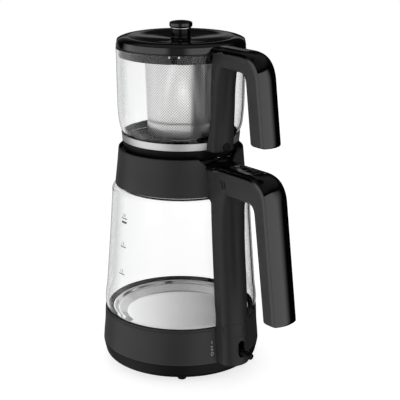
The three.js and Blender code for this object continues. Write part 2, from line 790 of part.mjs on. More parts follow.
// Lever that turns the kettle on, its pin and its bracket
function buildSwitch() {
  const bracketZ = coverTopZ + seatGap;
  const cheekIn = leverHubHalf + seatGap;
  const cheekOut = cheekIn + bracketWall;
  const cheekTop = leverZ + leverHubRadius;
  const back = leverX - bracketHalfLength;
  const front = leverX + bracketHalfLength;
  let bracket = block([back, -cheekOut, bracketZ], [front, cheekOut, bracketZ + bracketFoot]);
  for (const side of [-1, 1]) {
    const [a, b] = [side * cheekIn, side * cheekOut].sort((p, q) => p - q);
    bracket = bracket.add(block([back, a, bracketZ], [front, b, cheekTop]));
  }
  const pinHole = barAlongY(
    pivotPinRadius + seatGap, 2 * (cheekOut + cutOverrun), [leverX, -cheekOut - cutOverrun, leverZ],
  );
  add('switch_bracket', bracket.subtract(pinHole), satinBlack);
  add('switch_pin', barAlongY(pivotPinRadius, 2 * cheekOut, [leverX, -cheekOut, leverZ]), steel);

  const columnX = columnCrownX(slotRise / (collarTopZ - kettleZ));
  const tipX = columnX + leverProud;
  const pegStart = columnX - columnSideDepth;
  const hub = barAlongY(leverHubRadius, 2 * leverHubHalf, [leverX, -leverHubHalf, leverZ]);
  const bar = block(
    [leverX, -leverBarHalf, leverZ - leverBarHeight / 2],
    [pegStart + leverRadius, leverBarHalf, leverZ + leverBarHeight / 2],
  );
  const round = leverRadius / 2;
  const peg = new THREE.LatheGeometry([
    [0, 0], [leverRadius, 0], [leverRadius, tipX - pegStart - round],
    [round, tipX - pegStart], [0, tipX - pegStart],
  ].map(([r, z]) => new THREE.Vector2(r, z)), smallRoundSteps);
  const placedPeg = peg.rotateZ(-Math.PI / 2).translate(pegStart, 0, leverZ);
  add('switch_lever', hub.add(bar).add(solid(placedPeg)).subtract(pinHole), satinBlack);
}

// Glass jar of the kettle, collar and seal
function buildKettleGlass() {
  const wall = kettleGlassWall;
  const outer = [[kettleFootRadius, glassBottomZ], [kettleFootRadius, ringTopZ], ...kettleGlassOutline(0)];
  const inner = kettleGlassOutline(-wall).map(([r, z], i) => {
    const share = i / (kettleGlassShares.length + shoulderShares.length);
    return [Math.max(r, neckRadius - wall), z - (share > shoulderStartShare ? wall : 0)];
  });
  add('kettle_glass', turned([
    ...outer, [neckRadius, collarZ], [neckRadius, glassTopZ], [neckRadius - wall, glassTopZ],
    [neckRadius - wall, collarZ - wall], ...mirrored(inner),
    [kettleFootRadius - wall, ringTopZ], [kettleFootRadius - wall, glassBottomZ],
  ]), clearGlass);

  const sealTop = glassTopZ + seatGap + sealHeight;
  add('collar_seal', turned([
    [neckRadius - sealWidth, glassTopZ + seatGap], [neckRadius, glassTopZ + seatGap],
    [neckRadius, sealTop], [neckRadius - sealWidth, sealTop],
  ]), silicone);

  const profile = [
    ...collarOutline(0), [collarInnerRadius + collarBevel / 2, collarTopZ],
    [collarInnerRadius, collarTopZ - collarBevel], [collarInnerRadius, collarLedgeZ],
    [mouthRadius, collarLedgeZ], [mouthRadius, collarFlangeZ],
    [neckRadius + seatGap, collarFlangeZ], [neckRadius + seatGap, collarZ],
  ];
  const shell = pushLip(turnedGeometry(profile), collarLedgeZ, collarTopZ, spoutReach, spoutHalfAngle);
  const notchLow = collarTopZ - notchDepth;
  const notchHigh = collarTopZ + seatGap;
  const notch = new THREE.Shape([
    new THREE.Vector2(-notchBottomHalf, notchLow), new THREE.Vector2(notchBottomHalf, notchLow),
    new THREE.Vector2(notchTopHalf, notchHigh), new THREE.Vector2(-notchTopHalf, notchHigh),
  ]);
  const cutter = new THREE.ExtrudeGeometry(notch, { depth: collarBottomRadius, bevelEnabled: false });
  const cut = solid(cutter.rotateX(Math.PI / 2).rotateZ(Math.PI / 2).translate(seatRadius / 2, 0, 0));
  add('collar', solid(shell).subtract(cut), matteGrey);
}

// Ring lid in the collar: it seats the teapot and lets steam up to its bottom
function buildKettleLid() {
  const under = seatZ - lidPlate;
  const skirtIn = kettleLidRadius - lidSkirtWall;
  const ring = turned([
    [kettleLidRadius, collarLedgeZ + seatGap], [kettleLidRadius, lidTopZ],
    [seatRadius + seatGap, lidTopZ], [seatRadius, seatZ],
    [steamHoleRadius, seatZ], [steamHoleRadius, under], [skirtIn, under], [skirtIn, collarLedgeZ + seatGap],
  ]);
  const tabTop = lidTopZ + seatGap;
  const tabZ = tabTop - lidTabThickness;
  const tabEnd = kettleLidRadius + lidTabReach;
  let tab = block([seatRadius + seatGap, -lidTabHalf, tabZ], [tabEnd, lidTabHalf, tabTop]);
  const pitch = lidTabReach / (lidTabRibCount + 1);
  for (let i = 1; i <= lidTabRibCount; i += 1) {
    const x = kettleLidRadius + i * pitch;
    tab = tab.add(block([x, -lidTabHalf, tabZ], [x + pitch / 2, lidTabHalf, tabTop + lidTabRib]));
  }
  add('kettle_lid', ring.add(tab), glossBlack);
}

// Column section: flat sides that close in a little, with an oval front
function columnRing(z, backX, edgeX, depth, backHalf, frontHalf) {
  const ring = [new THREE.Vector3(backX, -backHalf, z), new THREE.Vector3(edgeX, -frontHalf, z)];
  for (let i = 1; i < crownSteps; i += 1) {
    const angle = -Math.PI / 2 + (Math.PI * i) / crownSteps;
    ring.push(new THREE.Vector3(edgeX + depth * Math.cos(angle), frontHalf * Math.sin(angle), z));
  }
  ring.push(new THREE.Vector3(edgeX, frontHalf, z), new THREE.Vector3(backX, backHalf, z));
  return ring;
}

// Where the kettle column's front edge and crown stand at a share of the height from base to collar
function columnEdgeX(share) {
  const bottom = chordX(ringBottomRadius, columnBackHalf) + columnSideDepth;
  const top = chordX(collarTopRadius, columnBackHalf) + columnTopDepth;
  return bottom + share * (top - bottom);
}

function columnCrownX(share) {
  return columnEdgeX(share) + columnFrontDepth;
}

function kettleColumn(inset, bottomInset) {
  const low = kettleZ + columnRise;
  const high = kettleArmZ - handleLip;
  const whole = collarTopZ - kettleZ;
  const rings = columnShares.map((share, i) => {
    const z = low + bottomInset + share * (high - low - bottomInset);
    const edge = columnEdgeX((z - kettleZ) / whole);
    const flare = columnFlareShares[i] * columnFlare;
    const depth = columnFrontDepth + flare - inset;
    return columnRing(z, edge - columnSink, edge, depth, columnBackHalf - inset, columnFrontHalf - inset);
  });
  if (bottomInset > 0) return loft(rings);
  const edge = columnEdgeX(columnRise / whole);
  const r = columnEndRound;
  const foot = columnRing(
    low, edge - columnSink, edge - r / 2, columnFrontDepth - r / 2, columnBackHalf - r, columnFrontHalf - r,
  );
  rings[0] = columnRing(
    low + r, edge - columnSink, edge, columnFrontDepth, columnBackHalf, columnFrontHalf,
  );
  return loft([foot, ...rings]);
}

// Space that the round kettle fills, a gap larger all round
function kettleEnvelope(gap) {
  const outline = [
    [ringBottomRadius + gap, kettleZ - cutOverrun], ...ringOutline(gap),
    ...kettleGlassOutline(gap), ...collarOutline(gap),
  ].filter(([, z], i, all) => i === 0 || z > all[i - 1][1] || all[i - 1][1] - z < weldTolerance);
  return filled(outline, kettleZ - 2 * cutOverrun, collarTopZ + cutOverrun);
}

// Stations of an open-ended handle: pairs of outer and inner points in the XZ plane, with a half width
function handleStations(form) {
  const cornerOut = new THREE.Vector2(form.cornerX, form.armZ);
  const down = new THREE.Vector2(form.leanShare, -1).normalize();
  const gripLength = (form.armZ - form.endZ) / -down.y;
  const endOut = cornerOut.clone().addScaledVector(down, gripLength);
  const cornerIn = new THREE.Vector2(form.cornerX - form.gripTop, form.armZ - form.armDepth);
  const endIn = new THREE.Vector2(endOut.x - form.gripEnd, form.endZ);
  const downIn = endIn.clone().sub(cornerIn).normalize();
  const bend = (corner, direction, length) => new THREE.QuadraticBezierCurve(
    new THREE.Vector2(corner.x - length, corner.y), corner, corner.clone().addScaledVector(direction, length),
  ).getPoints(bendSteps);
  const stretch = (a, b, shares) => shares.map((s) => a.clone().lerp(b, s));
  const outBend = bend(cornerOut, down, handleBendLength);
  const inBend = bend(cornerIn, downIn, handleInnerBendLength);
  const start = (z) => new THREE.Vector2(form.startX, z);
  const row = (corner, bendRow, end) => [
    ...stretch(start(corner.y), bendRow[0], armShares),
    ...bendRow.slice(1),
    ...stretch(bendRow.at(-1), end, gripShares).slice(1),
  ];
  const outer = row(cornerOut, outBend, endOut);
  const inner = row(cornerIn, inBend, endIn);
  return outer.map((o, i) => ({ outer: o, inner: inner[i], half: form.half }));
}

// Point of a station: depth from its inner side, and Y
function stationPoint(station, depth, y) {
  const way = station.outer.clone().sub(station.inner).normalize();
  return new THREE.Vector3(station.inner.x + way.x * depth, y, station.inner.y + way.y * depth);
}

// Inner half of a handle: round on the finger side, flat where the outer half meets it
function innerShellRing(station, inset, topDepth, round) {
  const half = station.half - inset;
  const r = Math.max(round - inset, handleHollowRound);
  const points = [[topDepth, -half]];
  for (let i = 0; i <= cornerSteps; i += 1) {
    const angle = (Math.PI / 2) * (i / cornerSteps);
    points.push([inset + r - r * Math.sin(angle), -half + r - r * Math.cos(angle)]);
  }
  for (let i = cornerSteps; i >= 0; i -= 1) {
    const angle = (Math.PI / 2) * (i / cornerSteps);
    points.push([inset + r - r * Math.sin(angle), half - r + r * Math.cos(angle)]);
  }
  points.push([topDepth, half]);
  return points.map(([depth, y]) => stationPoint(station, depth, y));
}

function stationDepth(station) {
  return station.outer.distanceTo(station.inner);
}

// Last station drawn in, so that the grip's end is rounded
function withRoundedEnd(stations, round) {
  const last = stations.at(-1);
  const before = stations.at(-2);
  const rise = (a, b) => a.clone().lerp(b, round / a.distanceTo(b));
  const full = {
    outer: rise(last.outer, before.outer), inner: rise(last.inner, before.inner), half: last.half,
  };
  const way = last.outer.clone().sub(last.inner).normalize();
  const end = {
    outer: last.outer.clone().addScaledVector(way, -handleBevel),
    inner: last.inner.clone().addScaledVector(way, round),
    half: last.half - round,
  };
  return [...stations.slice(0, -1), full, end];
}

function innerShell(stations) {
  const rounded = withRoundedEnd(stations, handleEndRound);
  return loft(rounded.map((s) => innerShellRing(s, 0, stationDepth(s) - handleLip, handleRound)));
}

// Hollow of the inner half, open towards the outer half
function innerHollow(stations, startIndex) {
  const last = stations.at(-1);
  const before = stations.at(-2);
  const share = (handleWall + handleEndRound) / last.outer.distanceTo(before.outer);
  const end = {
    outer: last.outer.clone().lerp(before.outer, share),
    inner: last.inner.clone().lerp(before.inner, share),
    half: last.half,
  };
  const kept = [...stations.slice(startIndex, -1), end];
  return loft(kept.map((s) => innerShellRing(s, handleWall, stationDepth(s), handleRound)));
}

// Outer half: a crowned strap with bevelled edges, from the collar over the arm and down the grip
function strap(stations, crown, footHalf, footLength, startX) {
  const rounded = withRoundedEnd(stations, handleEndRound);
  const footEnd = startX + footLength;
  const rings = [];
  rounded.forEach((s) => {
    const onFoot = s.outer.x < footEnd && s.outer.y === stations[0].outer.y;
    const half = onFoot ? footHalf : s.half;
    const under = stationDepth(s) - handleLip + seatGap;
    const edge = half - handleBevel;
    const points = [[under, -half], [under, half]];
    for (let i = 0; i <= crownSteps; i += 1) {
      const y = edge - (2 * edge * i) / crownSteps;
      points.push([stationDepth(s) + crown * (1 - (y / edge) ** 2), y]);
    }
    rings.push(points.map(([depth, y]) => stationPoint(s, depth, y)));
  });
  return loft(rings);
}

const kettleHandle = {
  startX: collarTopRadius - collarWall,
  cornerX: collarTopRadius + kettleHandleReach,
  armZ: kettleArmZ,
  armDepth: kettleArmDepth,
  leanShare: kettleGripLeanShare,
  gripTop: kettleGripTop,
  gripEnd: kettleGripEnd,
  half: kettleGripHalf,
  endZ: kettleZ + kettleGripBottom,
};

const brewX = collarTopRadius + brewButtonFromCollar;
const warmX = collarTopRadius + warmButtonFromCollar;
const boardX = collarTopRadius + boardStart;
const boardZ = kettleArmZ - kettleArmDepth + handleWall + handleRound + boardPostRadius;

function boardPosts() {
  const last = boardX + boardLength - boardPostRadius;
  const ends = [last - boardPostPitch, last];
  const low = kettleArmZ - kettleArmDepth + handleWall / 2;
  return ends.map((x) => barAlongZ(boardPostRadius, boardZ - seatGap - low, [x, 0, low]));
}

// Slanted pair of vents in each side of the arm
function vents() {
  const x = collarTopRadius + ventInset;
  const z = kettleArmZ - ventDrop;
  const bars = [];
  for (const i of [0, 1]) {
    const slot = new THREE.BoxGeometry(ventWidth, 2 * (kettleGripHalf + columnBackHalf), ventHeight);
    slot.rotateY(-Math.atan2(ventLean, ventHeight));
    bars.push(solid(slot.translate(x + i * ventPitch + ventLean / 2, 0, z)));
  }
  return bars;
}

function buildKettleHandle() {
  const stations = handleStations(kettleHandle);
  const outside = kettleEnvelope(seatGap);
  const behind = kettleEnvelope(seatGap + columnBackWall);
  let shell = kettleColumn(0, 0).add(innerShell(stations)).subtract(outside);
  const columnHollow = kettleColumn(handleWall, handleWall).subtract(behind);
  shell = shell.subtract(columnHollow).subtract(innerHollow(stations, 1).subtract(behind));
  boardPosts().forEach((post) => {
    shell = shell.add(post);
  });
  columnScrewPlaces().forEach(([y, z]) => {
    const surface = chordX(ringBottomRadius, y);
    shell = shell.add(barAlongX(columnBossRadius, columnScrewLength, [surface, y, z]).subtract(outside));
    shell = shell.subtract(barAlongX(
      columnScrewRadius + seatGap, columnScrewLength + ringFlare, [surface - ringFlare, y, z],
    ));
  });
  vents().forEach((slot) => {
    shell = shell.subtract(slot.subtract(block(
      [0, -kettleGripHalf + handleWall + slideGap, 0],
      [kettleHandle.cornerX, kettleGripHalf - handleWall - slideGap, collarTopZ + cutOverrun],
    )));
  });
  const slotZ = kettleZ + slotRise;
  const frontX = columnCrownX(0);
  shell = shell.subtract(prismAlongX(
    slotHalf, slotHeight, slotHalf, slotZ, frontX - columnFrontDepth, frontX + cutOverrun,
  ));
  shell = shell.subtract(leverPassage());
  shell = shell.subtract(barAlongX(
    loomRadius + slideGap, columnBackWall + 2 * cutOverrun,
    [ringBottomRadius - cutOverrun, loomSpread, loomPassageZ()],
  ));
  const badgeZ = kettleZ + badgeRise - badgeHeight / 2;
  const recess = prismAlongX(
    badgeHalf + seatGap, badgeHeight + 2 * seatGap, badgeCorner + seatGap, badgeZ - seatGap,
    columnEdgeX(0) - cutOverrun / 2, frontX + cutOverrun,
  );
  shell = shell.subtract(recess.subtract(kettleColumn(badgeThickness + seatGap, 0)));
  add('kettle_handle_inner', shell, matteGrey);

  const plate = prismAlongX(
    badgeHalf, badgeHeight, badgeCorner, badgeZ, columnEdgeX(0) - cutOverrun / 2, frontX + cutOverrun,
  );
  const skin = plate.intersect(kettleColumn(0, 0)).subtract(kettleColumn(badgeThickness, 0));
  add('badge_plate', skin, matteGrey);

  let cover = strap(
    stations, kettleStrapCrown, kettleStrapFootHalf, kettleStrapFootLength, kettleHandle.startX,
  );
  cover = cover.subtract(outside);
  const top = kettleArmZ + kettleStrapCrown;
  for (const [x, length] of [[brewX, brewButtonLength], [warmX, warmButtonLength]]) {
    cover = cover.subtract(prismAlongZ(
      length / 2 + seatGap, buttonHalf + seatGap, buttonCorner + seatGap, x,
      kettleArmZ - handleLip - cutOverrun, top + cutOverrun,
    ));
  }
  const ledX = collarTopRadius + ledFromCollar;
  const ledTop = top - seatGap;
  cover = cover.subtract(barAlongZ(
    ledRadius + seatGap, 2 * cutOverrun + handleLip, [ledX, ledSide, top - cutOverrun - handleLip],
  ));
  add('kettle_handle_outer', cover, glossBlack);
  const ledLow = kettleArmZ - handleLip - slideGap;
  add('indicator_light', barAlongZ(ledRadius, ledTop - ledLow, [ledX, ledSide, ledLow]), amber);
}

// Push buttons: a cap in the cover, a flange under it and a stem above its switch
function button(x, length) {
  const under = kettleArmZ - handleLip - buttonClear;
  const top = kettleArmZ + kettleStrapCrown + buttonRise;
  const cap = prismAlongZ(length / 2, buttonHalf, buttonCorner, x, under - buttonFlangeThickness / 2, top);
  const flange = prismAlongZ(
    length / 2 + buttonFlange, buttonHalf + buttonFlange, buttonCorner, x,
    under - buttonFlangeThickness, under,
  );
  const stemLow = boardZ + boardThickness + switchHeight + buttonTravel + seatGap;
  const stem = prismAlongZ(buttonStemHalf, buttonStemHalf, buttonCorner / 2, x, stemLow, under);
  return cap.add(flange).add(stem);
}

function buildControls() {
  add('brew_button', button(brewX, brewButtonLength), glossBlack);
  add('keep_warm_button', button(warmX, warmButtonLength), glossBlack);
  let plate = block([boardX, -boardHalf, boardZ], [boardX + boardLength, boardHalf, boardZ + boardThickness]);
  const switchTop = boardZ + boardThickness + switchHeight;
  for (const x of [brewX, warmX]) {
    plate = plate.add(block([x - switchHalf, -switchHalf, boardZ], [x + switchHalf, switchHalf, switchTop]));
  }
  add('circuit_board', plate, board);

  const passZ = loomPassageZ();
  const cavityX = (share) => (columnCrownX(share) - handleWall + shoulderOrRingX(share) + columnBackWall) / 2;
  const rise = collarTopZ - kettleZ;
  const thermostatZ = plateUnderZ - seatGap - thermostatHeight / 2;
  const route = [
    [thermostatRadius + seatGap, 0, thermostatZ],
    [thermostatRadius + loomRunUp, 0, thermostatZ],
    [elementRadius - elementTube, loomSpread / 2, passZ - loomRadius],
    [leverX, loomSpread, passZ],
    [ringTopRadius, loomSpread, passZ],
    [ringBottomRadius + columnBackWall + loomTurn, loomSpread, passZ],
    ...loomHeightShares.map((share) => [cavityX(share), 0, kettleZ + share * rise]),
    [boardX - loomLead, 0, boardZ - loomDrop],
    [boardX - loomTurn, 0, boardZ + boardThickness / 2],
    [boardX - seatGap, 0, boardZ + boardThickness / 2],
  ].map(([x, y, z]) => new THREE.Vector3(x, y, z));
  const section = new THREE.Shape().absarc(0, 0, loomRadius, 0, 2 * Math.PI);
  add('wire_loom', solid(new THREE.ExtrudeGeometry(section, {
    steps: loomSteps, curveSegments: 3, bevelEnabled: false,
    extrudePath: new THREE.CatmullRomCurve3(route, false, 'centripetal'),
  })), silicone);

  columnScrewPlaces().forEach(([y, z], i) => {
    const inside = chordX(ringBottomRadius - ringWall, y) - ringFlare - seatGap;
    const headX = inside - columnScrewHeadHeight;
    const head = barAlongX(columnScrewHeadRadius, columnScrewHeadHeight, [headX, y, z]);
    const end = chordX(ringBottomRadius, y) + columnScrewLength - slideGap;
    const shankX = inside - columnScrewHeadHeight / 2;
    const shank = barAlongX(columnScrewRadius, end - shankX, [shankX, y, z]);
    add(`column_screw_${i + 1}`, head.add(shank), steel);
  });
}

// Outer radius of the round kettle at a share of the height from its base to the collar's top
function shoulderOrRingX(share) {
  return ringBottomRadius + share * (collarBottomRadius - ringBottomRadius);
}

// Teapot: glass, steel band, handle with its screw and plug
function buildTeapot() {
  const wall = teapotGlassWall;
  const outline = teapotOutline(0);
  const inner = mirrored(teapotOutline(-wall).map(([r, z], i) => [r, i < 2 ? z + wall : z]));
  const profile = [[0, teapotZ], ...outline, ...inner, [0, teapotZ + wall]];
  const lipZ = teapotTopZ - teapotLipHeight;
  const jug = pushLip(turnedGeometry(profile), lipZ, teapotTopZ, teapotLipReach, teapotLipHalfAngle);
  add('teapot_glass', solid(jug), clearGlass);

  const bandZ = teapotZ + bandRise;
  const inside = bandRadius + seatGap;
  const tabFrom = bandRadius - bandTaper + bandThickness;
  const tabTo = bandRadius + seatGap + bandThickness + bandTabReach;
  const tabLow = bandZ + bandTabMargin;
  const tabHigh = bandZ + bandHeight - bandTabMargin;
  const screwZ = (tabLow + tabHigh) / 2;
  const ring = turned([
    [inside - bandTaper, bandZ], [inside - bandTaper + bandThickness, bandZ],
    [inside + bandThickness, bandZ + bandHeight], [inside, bandZ + bandHeight],
  ]);
  const holeX = tabTo - bandTabReach;
  const screwHole = barAlongX(handleScrewRadius + seatGap, 2 * bandTabReach, [holeX, 0, screwZ]);
  const tab = block([tabFrom, -bandTabHalf, tabLow], [tabTo, bandTabHalf, tabHigh]);
  add('steel_band', ring.add(tab.subtract(screwHole)), steel);

  const form = {
    startX: teapotRimRadius + seatGap - teapotGlassWall,
    cornerX: teapotRimRadius + teapotHandleReach,
    armZ: teapotArmZ,
    armDepth: teapotArmDepth,
    leanShare: teapotGripLeanShare,
    gripTop: teapotGripTop,
    gripEnd: teapotGripEnd,
    half: teapotGripHalf,
    endZ: teapotZ + teapotGripRise,
  };
  const stations = handleStations(form);
  const lidClear = teapotRimRadius + slideGap;
  const around = [...teapotOutline(seatGap + bandThickness / 2)];
  const bandClearRadius = bandRadius + bandThickness + 2 * seatGap;
  const bandClear = [[bandClearRadius, bandZ - seatGap], [bandClearRadius, bandZ + bandHeight + seatGap]];
  const lower = around.filter(([, z]) => z < bandClear[0][1]);
  const upper = around.filter(([, z]) => z > bandClear[1][1]);
  const outside = filled(
    [...lower, ...bandClear, ...upper, [lidClear, teapotTopZ]],
    teapotZ - cutOverrun, teapotArmZ + 2 * cutOverrun,
  );

  const low = bandZ - teapotColumnFoot;
  const high = teapotArmZ - handleLip;
  const edgeX = chordX(teapotRimRadius, teapotColumnBackHalf) + teapotColumnSideDepth;
  const rings = columnShares.map((share, i) => {
    const z = low + share * (high - low);
    const lean = teapotColumnLeanShare * (z - low);
    const flare = columnFlareShares[i] * teapotColumnFlare;
    const end = i === 0 ? columnEndRound / 2 : 0;
    return columnRing(
      z, edgeX - columnSink, edgeX - end, teapotColumnFrontDepth + lean + flare - end,
      teapotColumnBackHalf - end, teapotColumnFrontHalf - end,
    );
  });
  let shell = loft(rings).add(innerShell(stations)).subtract(outside);
  shell = shell.subtract(innerHollow(stations, 2));
  shell = shell.subtract(block(
    [0, -bandTabHalf - seatGap, tabLow - seatGap],
    [tabTo + seatGap, bandTabHalf + seatGap, tabHigh + seatGap],
  ));
  const headX = tabTo + seatGap + handleScrewWeb;
  shell = shell.subtract(barAlongX(handleScrewRadius + seatGap, bandTabReach, [tabTo, 0, screwZ]));
  shell = shell.subtract(barAlongX(handlePlugRadius + seatGap, 4 * cutOverrun, [headX, 0, screwZ]));
  add('teapot_handle_inner', shell, matteGrey);

  const headTop = headX + seatGap + handleScrewHeadHeight;
  const head = barAlongX(handleScrewHeadRadius, handleScrewHeadHeight, [headX + seatGap, 0, screwZ]);
  const shankX = tabTo - bandTabReach / 2;
  const shank = barAlongX(handleScrewRadius, headTop - shankX, [shankX, 0, screwZ]);
  add('teapot_handle_screw', head.add(shank), steel);
  const plug = barAlongX(handlePlugRadius, handlePlugThickness, [headTop + seatGap, 0, screwZ]);
  add('screw_plug', plug, satinBlack);

  const cover = strap(stations, teapotStrapCrown, teapotStrapFootHalf, teapotStrapFootLength, form.startX);
  add('teapot_handle_outer', cover.subtract(outside), glossBlack);
}

// Infuser: a holed steel basket that hangs in a plastic ring on the teapot's rim
function buildInfuser() {
  const ringRadius = teapotRimRadius - seatGap;
  const skirtIn = skirtRadius - infuserSkirtWall;
  const webUnder = webZ - infuserWebThickness;
  const hole = basketTopRadius + slideGap;
  const flangeUnder = infuserTopZ - infuserFlange;
  add('infuser_ring', turned([
    [skirtIn, skirtBottomZ], [skirtRadius, skirtBottomZ],
    [skirtRadius, flangeUnder], [ringRadius, flangeUnder],
    [ringRadius, infuserTopZ], [skirtIn, infuserTopZ], [skirtIn, webZ],
    [hole, webZ], [hole, webUnder], [skirtIn, webUnder],
  ]), satinBlack);
  const lipUnder = basketTopZ - basketWall;
  const lipRadius = basketTopRadius + basketLip;
  add('infuser_basket', turned([
    [0, basketBottomZ], [basketBottomRadius - basketEdge, basketBottomZ],
    [basketBottomRadius, basketBottomZ + basketEdge], [basketTopRadius, lipUnder],
    [lipRadius, lipUnder], [lipRadius, basketTopZ], [basketTopRadius - basketWall, basketTopZ],
    [basketBottomRadius - basketWall, basketBottomZ + basketEdge + basketWall / 2],
    [basketBottomRadius - basketEdge - basketWall / 2, basketBottomZ + basketWall],
    [0, basketBottomZ + basketWall],
  ]), steel);
}

// Teapot lid: shallow dome with a rim, a locating ring below and a knob
function buildTeapotLid() {
  const rim = teapotRimRadius;
  const bore = knobScrewRadius + slideGap;
  const dome = lidDomeShares.map(([r, z]) => [r * rim, lidRimTopZ + z * lidDomeRise]);
  const underDome = mirrored(dome.slice(1)).map(([r, z]) => [r, z - lidWall]);
  const locatorOut = skirtRadius - infuserSkirtWall - slideGap;
  const locatorIn = locatorOut - lidLocatorWall;
  const roof = lidRimTopZ - lidWall;
  const locatorZ = teapotLidZ - lidLocatorDepth;
  add('teapot_lid', turned([
    [bore, domeTopZ - lidWall], ...underDome.filter(([r]) => r < locatorIn && r > bore), [locatorIn, roof],
    [locatorIn, locatorZ], [locatorOut, locatorZ], [locatorOut, roof - seatGap],
    [rim - lidWall, roof - seatGap], [rim - lidWall, teapotLidZ], [rim, teapotLidZ], [rim, lidRimTopZ],
    ...dome, [bore, domeTopZ],
  ]), glossBlack);

  const stemZ = domeTopZ + seatGap;
  const stemTop = stemZ + knobStemHeight;
  const boreTop = stemZ + knobScrewDepth + seatGap;
  add('knob_stem', turned([
    [0, boreTop], [knobScrewRadius + seatGap, boreTop],
    [knobScrewRadius + seatGap, stemZ], [knobStemRadius + knobStemFlare, stemZ],
    [knobStemRadius, stemZ + knobStemFoot], [knobStemRadius, stemTop], [0, stemTop],
  ].reverse(), midRoundSteps), glossBlack);
  const ringZ = stemTop + seatGap;
  const capZ = ringZ + knobRingHeight + seatGap;
  add('knob_ring', turned([
    [0, ringZ], [knobRingRadius, ringZ],
    [knobRingRadius, ringZ + knobRingHeight], [0, ringZ + knobRingHeight],
  ], midRoundSteps), steel);
  add('knob_cap', turned([
    [0, capZ], [knobCapRadius - knobCapCrown, capZ], [knobCapRadius, capZ + knobCapCrown],
    [knobCapRadius, capZ + knobCapHeight - knobCapCrown],
    [knobCapRadius - knobCapCrown, capZ + knobCapHeight],
    [knobCapRadius / 2, capZ + knobCapHeight + knobCapCrown / 2], [0, capZ + knobCapHeight + knobCapCrown],
  ], midRoundSteps), glossBlack);
  const headTop = domeTopZ - lidWall - seatGap;
  const headUnder = headTop - knobScrewHeadHeight;
  add('knob_screw', turned([
    [0, headUnder], [knobScrewHeadRadius, headUnder], [knobScrewHeadRadius, headTop],
    [knobScrewRadius, headTop], [knobScrewRadius, stemZ + knobScrewDepth], [0, stemZ + knobScrewDepth],
  ], smallRoundSteps), steel);
}

buildPowerBase();
buildKettleBase();
buildSwitch();
buildKettleGlass();
buildKettleLid();
buildKettleHandle();
buildControls();
buildTeapot();
buildInfuser();
buildTeapotLid();

export default parts;
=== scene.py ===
"""Looks of an automatic tea maker: a glass kettle on its power base, with a glass teapot on top.

Lengths are millimetres in the object's own frame, +Z up, and become metres when a mesh is made.
Every new piece is a surface worked out with numpy: a profile turned round an axis, or a section
carried along a path. Finishes are procedural and read Object coordinates.
"""

from __future__ import annotations

import logging
import math
from dataclasses import dataclass
from enum import Enum
from typing import Callable, Sequence

import bpy
import numpy as np
from mathutils import Euler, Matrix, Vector


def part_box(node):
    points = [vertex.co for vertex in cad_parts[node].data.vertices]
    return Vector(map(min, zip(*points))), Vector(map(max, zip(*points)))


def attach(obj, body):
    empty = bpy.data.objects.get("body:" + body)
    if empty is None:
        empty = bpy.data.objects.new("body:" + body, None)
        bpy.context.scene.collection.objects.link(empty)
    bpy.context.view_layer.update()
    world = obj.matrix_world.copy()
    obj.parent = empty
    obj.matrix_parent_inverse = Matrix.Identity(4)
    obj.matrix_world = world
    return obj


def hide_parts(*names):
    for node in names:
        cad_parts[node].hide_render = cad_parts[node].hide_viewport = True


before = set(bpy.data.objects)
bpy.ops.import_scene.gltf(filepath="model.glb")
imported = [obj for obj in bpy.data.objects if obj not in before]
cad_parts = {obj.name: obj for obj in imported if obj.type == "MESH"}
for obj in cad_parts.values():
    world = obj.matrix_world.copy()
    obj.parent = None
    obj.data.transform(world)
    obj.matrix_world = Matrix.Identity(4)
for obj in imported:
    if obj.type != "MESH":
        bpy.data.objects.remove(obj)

MM = 0.001
ROUND_STEPS = 192
SMALL_STEPS = 96
TINY_STEPS = 48
SHARP_DEGREES = 32.0
GAP = 0.3
OVERRUN = 1.0
TEXT_DEPTH = 0.015
INK_DEPTH = 0.03

Array = np.ndarray
Piece = bpy.types.Object
log = logging.getLogger("tea_maker")


class Axis(Enum):
    """Axis that a turned surface stands on."""

    X = "x"
    Y = "y"
    Z = "z"


class Join(Enum):
    """How a tool piece changes the piece that it meets."""

    CUT = "DIFFERENCE"
    ADD = "UNION"


# Curves and profiles


def hermite(knots: Sequence[float], values: Sequence[float], at: Array) -> Array:
    """Smooth curve value(at) through knots.

    The slope at a knot is the mean of the slopes beside it, each weighted by the other's span,
    and a cubic joins the knots: h00*v0 + h10*span*s0 + h01*v1 + h11*span*s1.

    Args:
        knots: Rising places of the known values.
        values: Known values.
        at: Places where the curve is wanted, held inside the knots' range.

    Returns:
        The curve's values at those places.
    """
    x = np.asarray(knots, float)
    v = np.asarray(values, float)
    where = np.clip(np.asarray(at, float), x[0], x[-1])
    span = np.diff(x)
    rise = np.diff(v) / span
    middle = (rise[:-1] * span[1:] + rise[1:] * span[:-1]) / (span[:-1] + span[1:])
    slope = np.concatenate([rise[:1], middle, rise[-1:]])
    i = np.clip(np.searchsorted(x, where, side="right") - 1, 0, len(span) - 1)
    t = (where - x[i]) / span[i]
    start = (1 + 2 * t) * (1 - t) ** 2 * v[i] + t * (1 - t) ** 2 * span[i] * slope[i]
    end = t * t * (3 - 2 * t) * v[i + 1] + t * t * (t - 1) * span[i] * slope[i + 1]
    return start + end


def ease(share: Array) -> Array:
    """Smooth step 3s^2 - 2s^3 of a share held between 0 and 1."""
    s = np.clip(share, 0.0, 1.0)
    return s * s * (3.0 - 2.0 * s)


